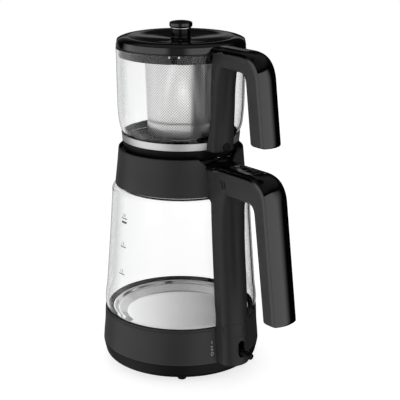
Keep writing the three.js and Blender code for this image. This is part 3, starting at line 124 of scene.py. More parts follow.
def rounded(corners: Sequence[Sequence[float]], closed: bool = False, steps: int = 5) -> Array:
    """Polyline whose corners turn in arcs.

    At each corner the arc leaves the two sides at radius / tan(half the corner's angle), held to
    half of the shorter side, and its points are spread evenly over the turn.

    Args:
        corners: Rows of (radius, height, fillet), where a fillet of 0 keeps the point.
        closed: Whether the last corner joins the first.
        steps: Points less one on each arc.

    Returns:
        The polyline as an array of (radius, height).
    """
    rows = np.asarray(corners, float)
    points = rows[:, :2]
    count = len(rows)
    made = []
    for i, (corner, fillet) in enumerate(zip(points, rows[:, 2])):
        ends = not closed and i in (0, count - 1)
        before = points[i - 1] - corner
        after = points[(i + 1) % count] - corner
        long_before = np.linalg.norm(before)
        long_after = np.linalg.norm(after)
        if ends or fillet <= 0 or min(long_before, long_after) < 1e-9:
            made.append(corner[None, :])
            continue
        a = before / long_before
        b = after / long_after
        half = math.acos(float(np.clip(a @ b, -1.0, 1.0))) / 2
        if half > math.radians(88):
            made.append(corner[None, :])
            continue
        reach = min(fillet / math.tan(half), long_before / 2, long_after / 2)
        radius = reach * math.tan(half)
        bisector = (a + b) / np.linalg.norm(a + b)
        centre = corner + bisector * radius / math.sin(half)
        first = corner + a * reach - centre
        last = corner + b * reach - centre
        turn = math.pi - 2 * half
        t = np.linspace(0.0, 1.0, steps + 1)[:, None]
        made.append(centre + (np.sin((1 - t) * turn) * first + np.sin(t * turn) * last) / math.sin(turn))
    return np.vstack(made)


def plain(points: Array) -> list[tuple[float, float, float]]:
    """Rows of a smooth stretch as corners with no fillet of their own."""
    return [(float(r), float(z), 0.0) for r, z in points]


# Surfaces


@dataclass
class Surface:
    """Closed surface: points with their quads and triangles."""

    points: Array
    quads: Array
    triangles: Array

    def volume(self) -> float:
        """Signed volume: the sum of a . (b x c) / 6 over the triangles, two to a quad.

        Returns:
            Cubic millimetres, negative when the faces point in.
        """
        q = self.quads
        tri = np.vstack([self.triangles, q[:, [0, 1, 2]], q[:, [0, 2, 3]]])
        a, b, c = (self.points[tri[:, i]] for i in range(3))
        return float(np.einsum("ij,ij->", a, np.cross(b, c)) / 6)

    def outward(self) -> Surface:
        """The same surface with its faces pointing out.

        Returns:
            The surface itself, or one with its faces reversed.
        """
        if self.volume() >= 0:
            return self
        return Surface(self.points, self.quads[:, ::-1], self.triangles[:, ::-1])

    def moved(self, change: Callable[[Array], Array]) -> Surface:
        """The same faces on changed points."""
        return Surface(change(self.points), self.quads, self.triangles)

    def piece(self, name: str) -> Piece:
        """Blender object of the surface, linked to the scene with its place in its mesh.

        Args:
            name: Name of the new piece.

        Returns:
            The object.
        """
        body = self.outward()
        mesh = bpy.data.meshes.new(name)
        faces = body.quads.tolist() + body.triangles.tolist()
        mesh.from_pydata((body.points * MM).tolist(), [], faces)
        mesh.validate()
        made = bpy.data.objects.new(name, mesh)
        bpy.context.scene.collection.objects.link(made)
        smooth(made)
        return made


def smooth(piece: Piece) -> None:
    """Shade a piece smooth, with edges past the sharp angle left crisp."""
    piece.data.shade_smooth()
    piece.data.set_sharp_from_angle(angle=math.radians(SHARP_DEGREES))


def grid_faces(rows: int, columns: int, wrap_rows: bool) -> Array:
    """Quads of a grid that closes on itself along its columns.

    Args:
        rows: Number of rings.
        columns: Points on each ring.
        wrap_rows: Whether the last ring joins the first.

    Returns:
        Quads as rows of four point numbers.
    """
    i = np.arange(rows if wrap_rows else rows - 1)[:, None]
    j = np.arange(columns)[None, :]
    below = ((i + 1) % rows) * columns
    beside = (j + 1) % columns
    corners = [i * columns + j, i * columns + beside, below + beside, below + j]
    return np.stack(corners, axis=-1).reshape(-1, 4)


def loft(rings: Array, loop: bool = False) -> Surface:
    """Closed surface through rings of equal counts, with a fan over each open end.

    Args:
        rings: Array (ring, point, xyz).
        loop: Whether the last ring joins the first, as round a torus.

    Returns:
        The closed surface.
    """
    count, size = rings.shape[:2]
    quads = grid_faces(count, size, loop)
    points = rings.reshape(-1, 3)
    if loop:
        return Surface(points, quads, np.zeros((0, 3), int))
    j = np.arange(size)
    beside = (j + 1) % size
    hubs = np.array([rings[0].mean(axis=0), rings[-1].mean(axis=0)])
    first = np.stack([np.full(size, len(points)), beside, j], axis=-1)
    start = (count - 1) * size
    last = np.stack([np.full(size, len(points) + 1), start + j, start + beside], axis=-1)
    return Surface(np.vstack([points, hubs]), quads, np.vstack([first, last]))


def turned(
    profile: Array, steps: int = ROUND_STEPS, axis: Axis = Axis.Z, centre: Sequence[float] = (0, 0, 0)
) -> Surface:
    """Profile turned round an axis: (r cos a, r sin a, h) for each point and angle.

    Args:
        profile: Rows of (radius, height). It starts and ends on the axis, or closes on itself.
        steps: Angles round the axis.
        axis: Axis that the heights run along.
        centre: Point that the axis passes through, where height is 0.

    Returns:
        The closed surface.
    """
    on_axis = profile[0, 0] < 1e-9 and profile[-1, 0] < 1e-9
    used = profile[1:-1] if on_axis else profile
    angle = np.linspace(0.0, 2 * math.pi, steps, endpoint=False)
    r = used[:, 0][:, None]
    h = np.broadcast_to(used[:, 1][:, None], (len(used), steps))
    a, b = r * np.cos(angle), r * np.sin(angle)
    order = {Axis.X: (h, a, b), Axis.Y: (b, h, a), Axis.Z: (a, b, h)}[axis]
    made = loft(np.stack(order, axis=-1), loop=not on_axis)
    if on_axis:
        along = {Axis.X: 0, Axis.Y: 1, Axis.Z: 2}[axis]
        made.points[-2, along] = profile[0, 1]
        made.points[-1, along] = profile[-1, 1]
    return made.moved(lambda p: p + np.asarray(centre, float))


def hoop(name: str, corners: Sequence[Sequence[float]], steps: int = ROUND_STEPS) -> Piece:
    """Ring piece: a closed outline of (radius, height, fillet) turned round Z."""
    return turned(rounded(corners, closed=True), steps).piece(name)


def disc(name: str, corners: Sequence[Sequence[float]], steps: int = ROUND_STEPS) -> Piece:
    """Round piece: an outline of (radius, height, fillet) from axis to axis, turned round Z."""
    return turned(rounded(corners), steps).piece(name)


def rounded_rectangle(half_long: float, half_wide: float, corner: float, steps: int = 6) -> Array:
    """Loop round a rectangle with quarter-circle corners, anticlockwise from its right side.

    Args:
        half_long: Half of its first side.
        half_wide: Half of its second side.
        corner: Radius of its corners.
        steps: Steps on each quarter circle.

    Returns:
        Rows of (u, v).
    """
    t = np.linspace(0.0, math.pi / 2, steps + 1)
    r = min(corner, half_long, half_wide)
    arc = np.stack([np.cos(t), np.sin(t)], axis=-1) * r
    quarter = np.array([[0.0, -1.0], [1.0, 0.0]])
    middle = np.array([half_long - r, half_wide - r])
    signs = [(1, 1), (-1, 1), (-1, -1), (1, -1)]
    turns = [np.linalg.matrix_power(quarter, i) for i in range(4)]
    return np.vstack([arc @ turn.T + middle * sign for turn, sign in zip(turns, signs)])


def close_points(loop: Array, gap: float = 0.6) -> Array:
    """The same closed outline with points at even steps no longer than a gap.

    Args:
        loop: The outline.
        gap: Longest step.

    Returns:
        Rows of (u, v).
    """
    ring = np.vstack([loop, loop[:1]])
    walked = np.concatenate([[0.0], np.cumsum(np.linalg.norm(np.diff(ring, axis=0), axis=1))])
    at = np.linspace(0.0, walked[-1], int(walked[-1] / gap) + 2)[:-1]
    return np.column_stack([np.interp(at, walked, ring[:, i]) for i in range(2)])


def stack_of(loops: Sequence[tuple[Array, Array | float]], order: Sequence[int] = (0, 1, 2)) -> Surface:
    """Loft through flat loops, each a pair of its outline and its height.

    Args:
        loops: Pairs of outline (point, 2) and height, one number or one for each point.
        order: Places of the outline's first, its second and the height in (x, y, z).

    Returns:
        The closed surface.
    """
    rings = []
    for outline, height in loops:
        flat = np.column_stack([outline, np.broadcast_to(height, len(outline))])
        ring = np.empty_like(flat)
        ring[:, list(order)] = flat
        rings.append(ring)
    return loft(np.stack(rings))


def box_surface(low: Sequence[float], high: Sequence[float], edge: float) -> Surface:
    """Upright block whose edges are all rounded: rounded rectangles drawn in towards both ends.

    Args:
        low: Its lowest corner.
        high: Its highest corner.
        edge: Radius of its edges.

    Returns:
        The closed surface.
    """
    a, b = np.asarray(low, float), np.asarray(high, float)
    middle, half = (a + b) / 2, (b - a) / 2
    t = np.linspace(0.0, math.pi / 2, 4)
    inset = np.concatenate([edge * (1 - np.sin(t)), edge * (1 - np.sin(t[::-1]))])
    lift = np.concatenate([edge * (1 - np.cos(t)), half[2] * 2 - edge * (1 - np.cos(t[::-1]))])
    loops = [
        (rounded_rectangle(half[0] - i, half[1] - i, edge, 3) + middle[:2], a[2] + up)
        for i, up in zip(inset, lift)
    ]
    return stack_of(loops)


# Work on finished pieces


def applied(piece: Piece) -> None:
    """Make the modifiers of a piece part of its mesh.

    Args:
        piece: The piece.
    """
    graph = bpy.context.evaluated_depsgraph_get()
    made = bpy.data.meshes.new_from_object(piece.evaluated_get(graph))
    piece.modifiers.clear()
    old = piece.data
    piece.data = made
    bpy.data.meshes.remove(old)


def dropped(piece: Piece) -> None:
    """Remove a tool piece and its mesh.

    Args:
        piece: The tool piece.
    """
    mesh = piece.data
    bpy.data.objects.remove(piece)
    bpy.data.meshes.remove(mesh)


def combined(piece: Piece, tools: Sequence[Surface], how: Join) -> Piece:
    """Cut tools out of a piece, or add them to it.

    Args:
        piece: Piece that is changed.
        tools: Closed surfaces, used one after another.
        how: Cut or add.

    Returns:
        The changed piece.
    """
    least_share = 0.25
    for surface in tools:
        tool = surface.piece(piece.name + "_tool")
        change = piece.modifiers.new("change", "BOOLEAN")
        change.object = tool
        change.operation = how.value
        change.solver = "EXACT"
        bpy.context.view_layer.update()
        before = len(piece.data.polygons)
        applied(piece)
        dropped(tool)
        if len(piece.data.polygons) < before * least_share:
            raise ValueError(f"{piece.name}: a tool piece left too little of it")
    smooth(piece)
    return piece


def points_of(piece: Piece) -> Array:
    """Vertices of a piece in millimetres.

    Args:
        piece: The piece.

    Returns:
        Rows of (x, y, z).
    """
    flat = np.zeros(len(piece.data.vertices) * 3)
    piece.data.vertices.foreach_get("co", flat)
    return flat.reshape(-1, 3) / MM


def set_points(piece: Piece, points: Array) -> None:
    """Put changed vertices, in millimetres, back into a piece."""
    piece.data.vertices.foreach_set("co", (points * MM).ravel())
    piece.data.update()


def span(node: str) -> Array:
    """Lowest and highest corner of a CAD node in millimetres, as two rows."""
    low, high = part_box(node)
    return np.array([low, high]) / MM


def upright(node: str) -> tuple[float, float, float]:
    """Lowest and highest z of a CAD node, and its farthest x."""
    box = span(node)
    return box[0, 2], box[1, 2], box[1, 0]


# Finishes


def grey(level: float) -> float:
    """Linear value of a display grey from 0 to 255: ((v + 0.055) / 1.055) ^ 2.4 past the toe."""
    v = level / 255
    return v / 12.92 if v <= 0.04045 else ((v + 0.055) / 1.055) ** 2.4


def tone(level: float, warm: float = 0.0) -> tuple[float, float, float, float]:
    """Colour of a display grey, warmed or cooled a little."""
    v = grey(level)
    return (v * (1 + warm), v, v * (1 - warm), 1.0)


DUST_TONE = tone(140, 0.03)
Socket = bpy.types.NodeSocket
Given = float | tuple | Socket


class Sheet:
    """Node tree with short calls that place a node and link or set its inputs."""

    def __init__(self, tree: bpy.types.NodeTree) -> None:
        """Keep the tree and empty it."""
        self.tree = tree
        tree.nodes.clear()

    def node(self, kind: str, inputs: dict | None = None, **settings: object) -> bpy.types.Node:
        """Place a node.

        Args:
            kind: Node type.
            inputs: Value or socket for each input, by name or number.
            settings: Properties of the node.

        Returns:
            The node.
        """
        made = self.tree.nodes.new(kind)
        for key, value in settings.items():
            setattr(made, key, value)
        for key, value in (inputs or {}).items():
            self.give(made.inputs[key], value)
        return made

    def give(self, entry: Socket, value: Given) -> None:
        """Link a socket to an input, or set a constant there.

        Args:
            entry: The input.
            value: Socket or constant.
        """
        if isinstance(value, Socket):
            self.tree.links.new(value, entry)
        else:
            entry.default_value = value

    def math(self, operation: str, a: Given, b: Given = 0.0, c: Given = 0.0) -> Socket:
        """Result of one Math node on up to three values."""
        return self.node("ShaderNodeMath", {0: a, 1: b, 2: c}, operation=operation).outputs[0]

    def place(self) -> tuple[Socket, Socket, Socket]:
        """Object coordinates x, y and z in metres."""
        where = self.node("ShaderNodeTexCoord").outputs["Object"]
        return tuple(self.node("ShaderNodeSeparateXYZ", {0: where}).outputs)

    def radius(self) -> Socket:
        """Distance from the Z axis in metres."""
        x, y, _ = self.place()
        return self.math("SQRT", self.math("ADD", self.math("MULTIPLY", x, x), self.math("MULTIPLY", y, y)))

    def ranged(self, value: Given, low: Given, high: Given, to_low: Given, to_high: Given) -> Socket:
        """Value carried from one range to another and held inside it."""
        inputs = {"Value": value, "From Min": low, "From Max": high, "To Min": to_low, "To Max": to_high}
        return self.node("ShaderNodeMapRange", inputs, clamp=True).outputs["Result"]

    def varied(self, noise: Socket, low: Given, high: Given) -> Socket:
        """Noise carried from its usual range, 0.3 to 0.7, to another."""
        return self.ranged(noise, 0.3, 0.7, low, high)

    def blend(self, share: Given, a: Given, b: Given) -> Socket:
        """Colour between two colours.

        Args:
            share: Share of the second colour.
            a: First colour.
            b: Second colour.

        Returns:
            The blended colour.
        """
        made = self.node("ShaderNodeMix", {0: share}, data_type="RGBA")
        first, second = (entry for entry in made.inputs if entry.type == "RGBA")
        self.give(first, a)
        self.give(second, b)
        return next(s for s in made.outputs if s.type == "RGBA")

    def noise(self, scale: Given, detail: float = 2.0, where: Socket | None = None) -> Socket:
        """Value of a noise texture on Object coordinates or on a given vector.

        Args:
            scale: Scale of the noise.
            detail: Its octaves.
            where: Vector that it is read at, or None for Object coordinates.

        Returns:
            The noise value.
        """
        place = where or self.node("ShaderNodeTexCoord").outputs["Object"]
        inputs = {"Vector": place, "Scale": scale, "Detail": detail}
        return self.node("ShaderNodeTexNoise", inputs).outputs[0]


def new_group(
    name: str, inputs: dict[str, tuple[str, object]], outputs: dict[str, str]
) -> tuple[Sheet, dict[str, Socket], bpy.types.Node]:
    """Empty shader group with named sockets.

    Args:
        name: Name of the group.
        inputs: Socket type and start value of each input.
        outputs: Socket type of each output.

    Returns:
        The group's sheet, its input sockets by name, and its output node.
    """
    tree = bpy.data.node_groups.new(name, "ShaderNodeTree")
    for key, (kind, start) in inputs.items():
        made = tree.interface.new_socket(name=key, in_out="INPUT", socket_type=kind)
        made.default_value = start
    for key, kind in outputs.items():
        tree.interface.new_socket(name=key, in_out="OUTPUT", socket_type=kind)
    sheet = Sheet(tree)
    given = sheet.node("NodeGroupInput")
    return sheet, {key: given.outputs[key] for key in inputs}, sheet.node("NodeGroupOutput")


VALUE = "NodeSocketFloat"
COLOUR = "NodeSocketColor"


class Effects:
    """Shader groups that several finishes share, each built once."""

    def __init__(self) -> None:
        """Build the groups."""
        self.grain = self.make_grain()
        self.wear = self.make_wear()
        self.dust = self.make_dust()
        self.smudge = self.make_smudge()

    def make_grain(self) -> bpy.types.NodeTree:
        """Moulded grain: a fine noise for height, and a slow one that varies the roughness.

        Returns:
            The group's tree.
        """
        inputs = {"Scale": (VALUE, 2500.0), "Rough low": (VALUE, 0.45), "Rough high": (VALUE, 0.55)}
        sheet, given, out = new_group("moulded_grain", inputs, {"Height": VALUE, "Roughness": VALUE})
        fine = sheet.noise(given["Scale"], 3.0)
        slow = sheet.noise(sheet.math("MULTIPLY", given["Scale"], 0.012), 2.0)
        rough = sheet.varied(slow, given["Rough low"], given["Rough high"])
        sheet.give(out.inputs["Height"], fine)
        sheet.give(out.inputs["Roughness"], rough)
        return sheet.tree

    def make_wear(self) -> bpy.types.NodeTree:
        """Edge wear: outer edges, broken up by noise, turn from the base to the worn colour.

        Returns:
            The group's tree.
        """
        inputs = {"Base": (COLOUR, (0.0, 0.0, 0.0, 1.0)), "Worn": (COLOUR, (0.1, 0.1, 0.1, 1.0)),
                  "Amount": (VALUE, 0.5)}
        sheet, given, out = new_group("edge_wear", inputs, {"Color": COLOUR, "Mask": VALUE})
        sharp = sheet.node("ShaderNodeNewGeometry").outputs["Pointiness"]
        edge = sheet.ranged(sharp, 0.52, 0.62, 0.0, 1.0)
        broken = sheet.math("MULTIPLY", edge, sheet.ranged(sheet.noise(180.0), 0.35, 0.65, 0.4, 1.0))
        mask = sheet.math("MULTIPLY", broken, given["Amount"])
        sheet.give(out.inputs["Color"], sheet.blend(mask, given["Base"], given["Worn"]))
        sheet.give(out.inputs["Mask"], mask)
        return sheet.tree

    def make_dust(self) -> bpy.types.NodeTree:
        """Dust: faces that look up turn a little towards the dust colour, in soft patches.

        Returns:
            The group's tree.
        """
        inputs = {"Base": (COLOUR, (0.0, 0.0, 0.0, 1.0)), "Dust": (COLOUR, (0.2, 0.2, 0.2, 1.0)),
                  "Amount": (VALUE, 0.02)}
        sheet, given, out = new_group("settled_dust", inputs, {"Color": COLOUR})
        normal = sheet.node("ShaderNodeNewGeometry").outputs["Normal"]
        up = sheet.node("ShaderNodeSeparateXYZ", {0: normal}).outputs[2]
        patch = sheet.ranged(sheet.noise(60.0, 4.0), 0.35, 0.7, 0.2, 1.0)
        flat = sheet.ranged(up, 0.2, 1.0, 0.0, 1.0)
        mask = sheet.math("MULTIPLY", sheet.math("MULTIPLY", flat, patch), given["Amount"])
        sheet.give(out.inputs["Color"], sheet.blend(mask, given["Base"], given["Dust"]))
        return sheet.tree

    def make_smudge(self) -> bpy.types.NodeTree:
        """Smudges: soft patches in which a polished surface is a little rougher.

        Returns:
            The group's tree.
        """
        inputs = {"Clean": (VALUE, 0.05), "Smudged": (VALUE, 0.12), "Scale": (VALUE, 25.0)}
        sheet, given, out = new_group("smudges", inputs, {"Roughness": VALUE})
        patch = sheet.noise(given["Scale"], 5.0)
        rough = sheet.ranged(patch, 0.45, 0.7, given["Clean"], given["Smudged"])
        sheet.give(out.inputs["Roughness"], rough)
        return sheet.tree


EFFECTS = Effects()


def group_node(sheet: Sheet, tree: bpy.types.NodeTree, inputs: dict) -> bpy.types.Node:
    """Place a shared group in a material with its own values."""
    return sheet.node("ShaderNodeGroup", inputs, node_tree=tree)


MATERIALS: dict[str, bpy.types.Material] = {}


class Finish:
    """A finish that can dress a piece; its material is made once."""

    name: str

    def material(self) -> bpy.types.Material:
        """The finish's material, made at its first use.

        Returns:
            The material.
        """
        if self.name not in MATERIALS:
            made = bpy.data.materials.new(self.name)
            made.use_nodes = True
            self.build(Sheet(made.node_tree))
            MATERIALS[self.name] = made
        return MATERIALS[self.name]

    def build(self, sheet: Sheet) -> None:
        """Place the finish's nodes in its material."""
        raise NotImplementedError

    def close(self, sheet: Sheet, inputs: dict) -> None:
        """Principled shader with its inputs, linked to the material's output."""
        shader = sheet.node("ShaderNodeBsdfPrincipled", inputs)
        sheet.node("ShaderNodeOutputMaterial", {"Surface": shader.outputs[0]})


@dataclass(frozen=True)
class Plastic(Finish):
    """Moulded plastic or rubber with grain, worn edges and a trace of dust."""

    name: str
    level: float
    rough: tuple[float, float] = (0.42, 0.52)
    gloss_level: float = 0.5
    grain: float = 2600.0
    grain_depth: float = 0.00002
    wear: float = 0.35
    dust: float = 0.015
    worn_gain: float = 1.7
    worn_lift: float = 12.0

    def build(self, sheet: Sheet) -> None:
        """Colour from wear and dust, roughness and bump from the grain.

        Args:
            sheet: Sheet of the finish's material.
        """
        worn = group_node(sheet, EFFECTS.wear, {
            "Base": tone(self.level), "Amount": self.wear,
            "Worn": tone(self.level * self.worn_gain + self.worn_lift),
        })
        dusty = group_node(sheet, EFFECTS.dust, {
            "Base": worn.outputs["Color"], "Dust": DUST_TONE, "Amount": self.dust,
        })
        grain = group_node(sheet, EFFECTS.grain, {
            "Scale": self.grain, "Rough low": self.rough[0], "Rough high": self.rough[1],
        })
        bump = sheet.node("ShaderNodeBump", {
            "Height": grain.outputs["Height"], "Strength": 1.0, "Distance": self.grain_depth,
        })
        self.close(sheet, {
            "Base Color": dusty.outputs["Color"], "Roughness": grain.outputs["Roughness"],
            "Normal": bump.outputs["Normal"], "Specular IOR Level": self.gloss_level,
        })


@dataclass(frozen=True)
class Gloss(Finish):
    """Polished plastic: a dark body under a clear shine with smudges and a faint waviness."""

    name: str
    level: float
    clean: float = 0.05
    smudged: float = 0.11
    gloss_level: float = 0.5
    wave_scale: float = 70.0
    wave_depth: float = 0.00001
    dust: float = 0.01

    def build(self, sheet: Sheet) -> None:
        """Colour with a trace of dust, roughness from smudges, normal from slow waves.

        Args:
            sheet: Sheet of the finish's material.
        """
        dusty = group_node(sheet, EFFECTS.dust, {
            "Base": tone(self.level), "Dust": DUST_TONE, "Amount": self.dust,
        })
        smudge = group_node(sheet, EFFECTS.smudge, {"Clean": self.clean, "Smudged": self.smudged})
        bump = sheet.node("ShaderNodeBump", {
            "Height": sheet.noise(self.wave_scale, 1.0), "Strength": 1.0, "Distance": self.wave_depth,
        })
        self.close(sheet, {
            "Base Color": dusty.outputs["Color"], "Roughness": smudge.outputs["Roughness"],
            "Normal": bump.outputs["Normal"], "Specular IOR Level": self.gloss_level,
        })


@dataclass(frozen=True)
class ClearGlass(Finish):
    """Borosilicate glass: clear face on, darker where the wall is seen edge on."""

    name: str
    clear: float = 253.0
    edge: float = 240.0
    index: float = 1.47
    shine: float = 0.3
    smudged: float = 0.006
    smudge_scale: float = 18.0

    def build(self, sheet: Sheet) -> None:
        """Tint from Layer Weight, a whisper of smudge in the roughness.

        Args:
            sheet: Sheet of the finish's material.
        """
        facing = sheet.node("ShaderNodeLayerWeight", {"Blend": 0.5}).outputs["Facing"]
        smudge = group_node(sheet, EFFECTS.smudge, {
            "Clean": 0.0, "Smudged": self.smudged, "Scale": self.smudge_scale,
        })
        self.close(sheet, {
            "Base Color": sheet.blend(facing, tone(self.clear), tone(self.edge, -0.01)),
            "Roughness": smudge.outputs["Roughness"], "IOR": self.index, "Transmission Weight": 1.0,
            "Specular Tint": (self.shine, self.shine, self.shine, 1.0),
        })


class Brushing(Enum):
    """Way that the marks of working run on a steel piece."""

    AROUND = "around"
    SPUN = "spun"
    PLAIN = "plain"


@dataclass(frozen=True)
class Steel(Finish):
    """Stainless steel with the fine marks of turning or brushing."""

    name: str
    level: float = 200.0
    rough: tuple[float, float] = (0.2, 0.3)
    brushing: Brushing = Brushing.AROUND
    mark_depth: float = 0.000004
    warm: float = 0.0
    rough_past: float = 1000.0
    rough_more: float = 0.0
    mark_scale: float = 6000.0
    mark_run: float = 14.0
    plain_scale: float = 900.0
    dark_share: float = 0.94

    def marks(self, sheet: Sheet) -> Socket:
        """Noise drawn out along the marks: around the axis by height, or by radius when spun.

        Args:
            sheet: Sheet of the finish's material.

        Returns:
            The noise value.
        """
        if self.brushing is Brushing.PLAIN:
            return sheet.noise(self.plain_scale, 3.0)
        x, y, z = sheet.place()
        across = z if self.brushing is Brushing.AROUND else sheet.radius()
        vector = sheet.node("ShaderNodeCombineXYZ", {
            0: sheet.math("MULTIPLY", across, self.mark_scale), 1: sheet.math("MULTIPLY", x, self.mark_run),
            2: sheet.math("MULTIPLY", y, self.mark_run),
        }).outputs[0]
        return sheet.noise(1.0, 3.0, vector)

    def build(self, sheet: Sheet) -> None:
        """Metal with colour, roughness and bump from its marks, rougher past a radius.

        Args:
            sheet: Sheet of the finish's material.
        """
        marks = self.marks(sheet)
        near, far = (self.rough_past - 0.5) * MM, (self.rough_past + 0.5) * MM
        past = sheet.ranged(sheet.radius(), near, far, 0.0, self.rough_more)
        rough = sheet.varied(marks, self.rough[0], self.rough[1])
        bump = sheet.node("ShaderNodeBump", {"Height": marks, "Strength": 1.0, "Distance": self.mark_depth})
        dark = tone(self.level * self.dark_share, self.warm)
        shade = sheet.blend(marks, dark, tone(self.level, self.warm))
        self.close(sheet, {
            "Base Color": shade, "Metallic": 1.0, "Normal": bump.outputs["Normal"],
            "Roughness": sheet.math("ADD", rough, past),
        })


@dataclass(frozen=True)
class Perforated(Steel):
    """Perforated sheet: round holes on a diamond grid between two heights, clear through, with painted shade
    on its inner face.
    """

    holes_round: int = 80
    pitch: float = 2.8
    hole_share: float = 0.23
    edge_share: float = 0.03
    # inside: share of the steel's level kept on the inner face, which is painted shade for the inside of the
    # basket
    inside: float = 0.75
    inner_foot: float = 33.8
    inner_shade_rise: float = 0.033
    low: float = 250.0
    high: float = 330.0
    rim_share: float = 0.12
    rim_depth: float = 0.00006
    rim_strength: float = 0.6

    def build(self, sheet: Sheet) -> None:
        """Steel whose alpha is 0 inside the holes of two shifted square grids, its inner face darkened as
        painted shade.

        Args:
            sheet: Sheet of the finish's material.
        """
        x, y, z = sheet.place()
        turn = sheet.math("MULTIPLY", sheet.math("ARCTAN2", y, x), self.holes_round / (2 * math.pi))
        rise = sheet.math("DIVIDE", z, self.pitch * MM)
        near = sheet.math("MINIMUM", *(self.from_centre(sheet, turn, rise, shift) for shift in (0.0, 0.5)))
        hole, edge = self.hole_share, self.edge_share
        solid = sheet.ranged(near, hole - edge, hole + edge, 0.0, 1.0)
        below = sheet.math("LESS_THAN", z, self.low * MM)
        above = sheet.math("GREATER_THAN", z, self.high * MM)
        alpha = sheet.math("MAXIMUM", solid, sheet.math("MAXIMUM", below, above))
        marks = self.marks(sheet)
        rim = sheet.ranged(near, hole, hole + self.rim_share, 0.0, 1.0)
        bump = sheet.node("ShaderNodeBump", {
            "Height": rim, "Strength": self.rim_strength, "Distance": self.rim_depth,
        })
        # Inner face found by radius; there the colour is darkened as painted shade
        above_foot = sheet.math("SUBTRACT", z, self.low * MM)
        wall = sheet.math("MULTIPLY_ADD", above_foot, self.inner_shade_rise, self.inner_foot * MM)
        inner = sheet.math("LESS_THAN", sheet.radius(), wall)
        outside = sheet.blend(marks, tone(self.level * self.dark_share), tone(self.level))
        self.close(sheet, {
            "Base Color": sheet.blend(inner, outside, tone(self.level * self.inside)), "Metallic": 1.0,
            "Normal": bump.outputs["Normal"], "Alpha": alpha,
            "Roughness": sheet.varied(marks, self.rough[0], self.rough[1]),
        })

    def from_centre(self, sheet: Sheet, turn: Socket, rise: Socket, shift: float) -> Socket:
        """Distance to the nearest hole's centre on one of the two grids, as a share of the pitch.

        Args:
            sheet: Sheet of the finish's material.
            turn: Place round the sheet, in holes.
            rise: Place up the sheet, in holes.
            shift: Shift of the grid, in holes.

        Returns:
            The distance.
        """
        u = sheet.math("SUBTRACT", sheet.math("FRACT", sheet.math("ADD", turn, shift)), 0.5)
        v = sheet.math("SUBTRACT", sheet.math("FRACT", sheet.math("ADD", rise, shift)), 0.5)
        square = sheet.math("ADD", sheet.math("MULTIPLY", u, u), sheet.math("MULTIPLY", v, v))
        return sheet.math("SQRT", square)


@dataclass(frozen=True)
class Printed(Finish):
    """Screen-printed ink, a little uneven."""

    name: str
    level: float
    rough: float = 0.5
    mottle_scale: float = 1500.0
    dark_share: float = 0.9

    def build(self, sheet: Sheet) -> None:
        """Ink colour with slight mottling.

        Args:
            sheet: Sheet of the finish's material.
        """
        mottle = sheet.varied(sheet.noise(self.mottle_scale), 0.0, 1.0)
        self.close(sheet, {
            "Base Color": sheet.blend(mottle, tone(self.level * self.dark_share), tone(self.level)),
            "Roughness": self.rough,
        })


@dataclass(frozen=True)
class Board(Finish):
    """Circuit board lacquer with faint tracks."""

    name: str
    lacquer: tuple[float, float, float, float] = (0.010, 0.075, 0.026, 1.0)
    copper: tuple[float, float, float, float] = (0.030, 0.150, 0.060, 1.0)
    track_scale: float = 260.0

    def build(self, sheet: Sheet) -> None:
        """Green lacquer crossed by paler tracks from a wave pattern.

        Args:
            sheet: Sheet of the finish's material.
        """
        where = sheet.node("ShaderNodeTexCoord").outputs["Object"]
        wave = sheet.node("ShaderNodeTexWave", {
            "Vector": where, "Scale": self.track_scale, "Distortion": 3.0,
        })
        track = sheet.ranged(wave.outputs[1], 0.75, 0.8, 0.0, 1.0)
        self.close(sheet, {
            "Base Color": sheet.blend(track, self.lacquer, self.copper),
            "Roughness": sheet.ranged(track, 0.0, 1.0, 0.45, 0.3),
        })


MATTE_GREY = Plastic("matte_grey_plastic", 42, (0.42, 0.5), 0.2)
BASE_GREY = Plastic("base_grey_plastic", 44, (0.42, 0.5), 0.26)
SATIN_BLACK = Plastic("satin_black_plastic", 10, (0.4, 0.5), 0.09, wear=0.2)
HOOP_BLACK = Plastic("satin_hoop_plastic", 22, (0.3, 0.4), 0.4, wear=0.2)
RUBBER = Plastic("black_silicone", 14, (0.65, 0.8), 0.06, 1800.0, 0.00003, wear=0.1)
GLOSS_BLACK = Gloss("gloss_black_plastic", 3)
SOFT_BLACK = Gloss("soft_black_plastic", 3, 0.12, 0.2, 0.12)
CLEAR_GLASS = ClearGlass("borosilicate_glass")
BAND_STEEL = Steel("brushed_steel_band", 182, (0.42, 0.5))
PLATE_STEEL = Steel(
    "spun_steel_plate", 222, (0.1, 0.16), Brushing.SPUN, 0.0000012, rough_past=58.8, rough_more=0.04,
)
PLAIN_STEEL = Steel("zinc_plated_steel", 185, (0.3, 0.42), Brushing.PLAIN)
BASKET_STEEL = Perforated("perforated_steel", 254, (0.3, 0.4))
PIN_STEEL = Steel("pin_steel", 235, (0.3, 0.4), Brushing.PLAIN)
BRASS = Steel("contact_brass", 170, (0.25, 0.35), Brushing.PLAIN, warm=0.45)
PALE_INK = Printed("pale_ink", 190)
GREY_INK = Printed("grey_ink", 105)
LIGHT_PIPE = Gloss("frosted_light_pipe", 110, 0.15, 0.25)
CIRCUIT_BOARD = Board("circuit_board_lacquer")


def dressed(piece: Piece, finish: Finish) -> Piece:
    """Give a piece one finish in place of what it had.

    Args:
        piece: The piece.
        finish: Its finish.

    Returns:
        The piece.
    """
    piece.data.materials.clear()
    piece.data.materials.append(finish.material())
    return piece


def placed(
    piece: Piece, finish: Finish, body: str, nodes: Sequence[str] = ()
) -> Piece:
    """Dress a piece, let it ride on its body and hide the CAD nodes that it stands for.

    Args:
        piece: The finished piece.
        finish: Its finish.
        body: CAD body that it moves with.
        nodes: CAD nodes that it replaces.

    Returns:
        The piece.
    """
    dressed(piece, finish)
    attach(piece, body)
    if nodes:
        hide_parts(*nodes)
    log.info("%s: %d faces, rides on %s", piece.name, len(piece.data.polygons), body)
    return piece


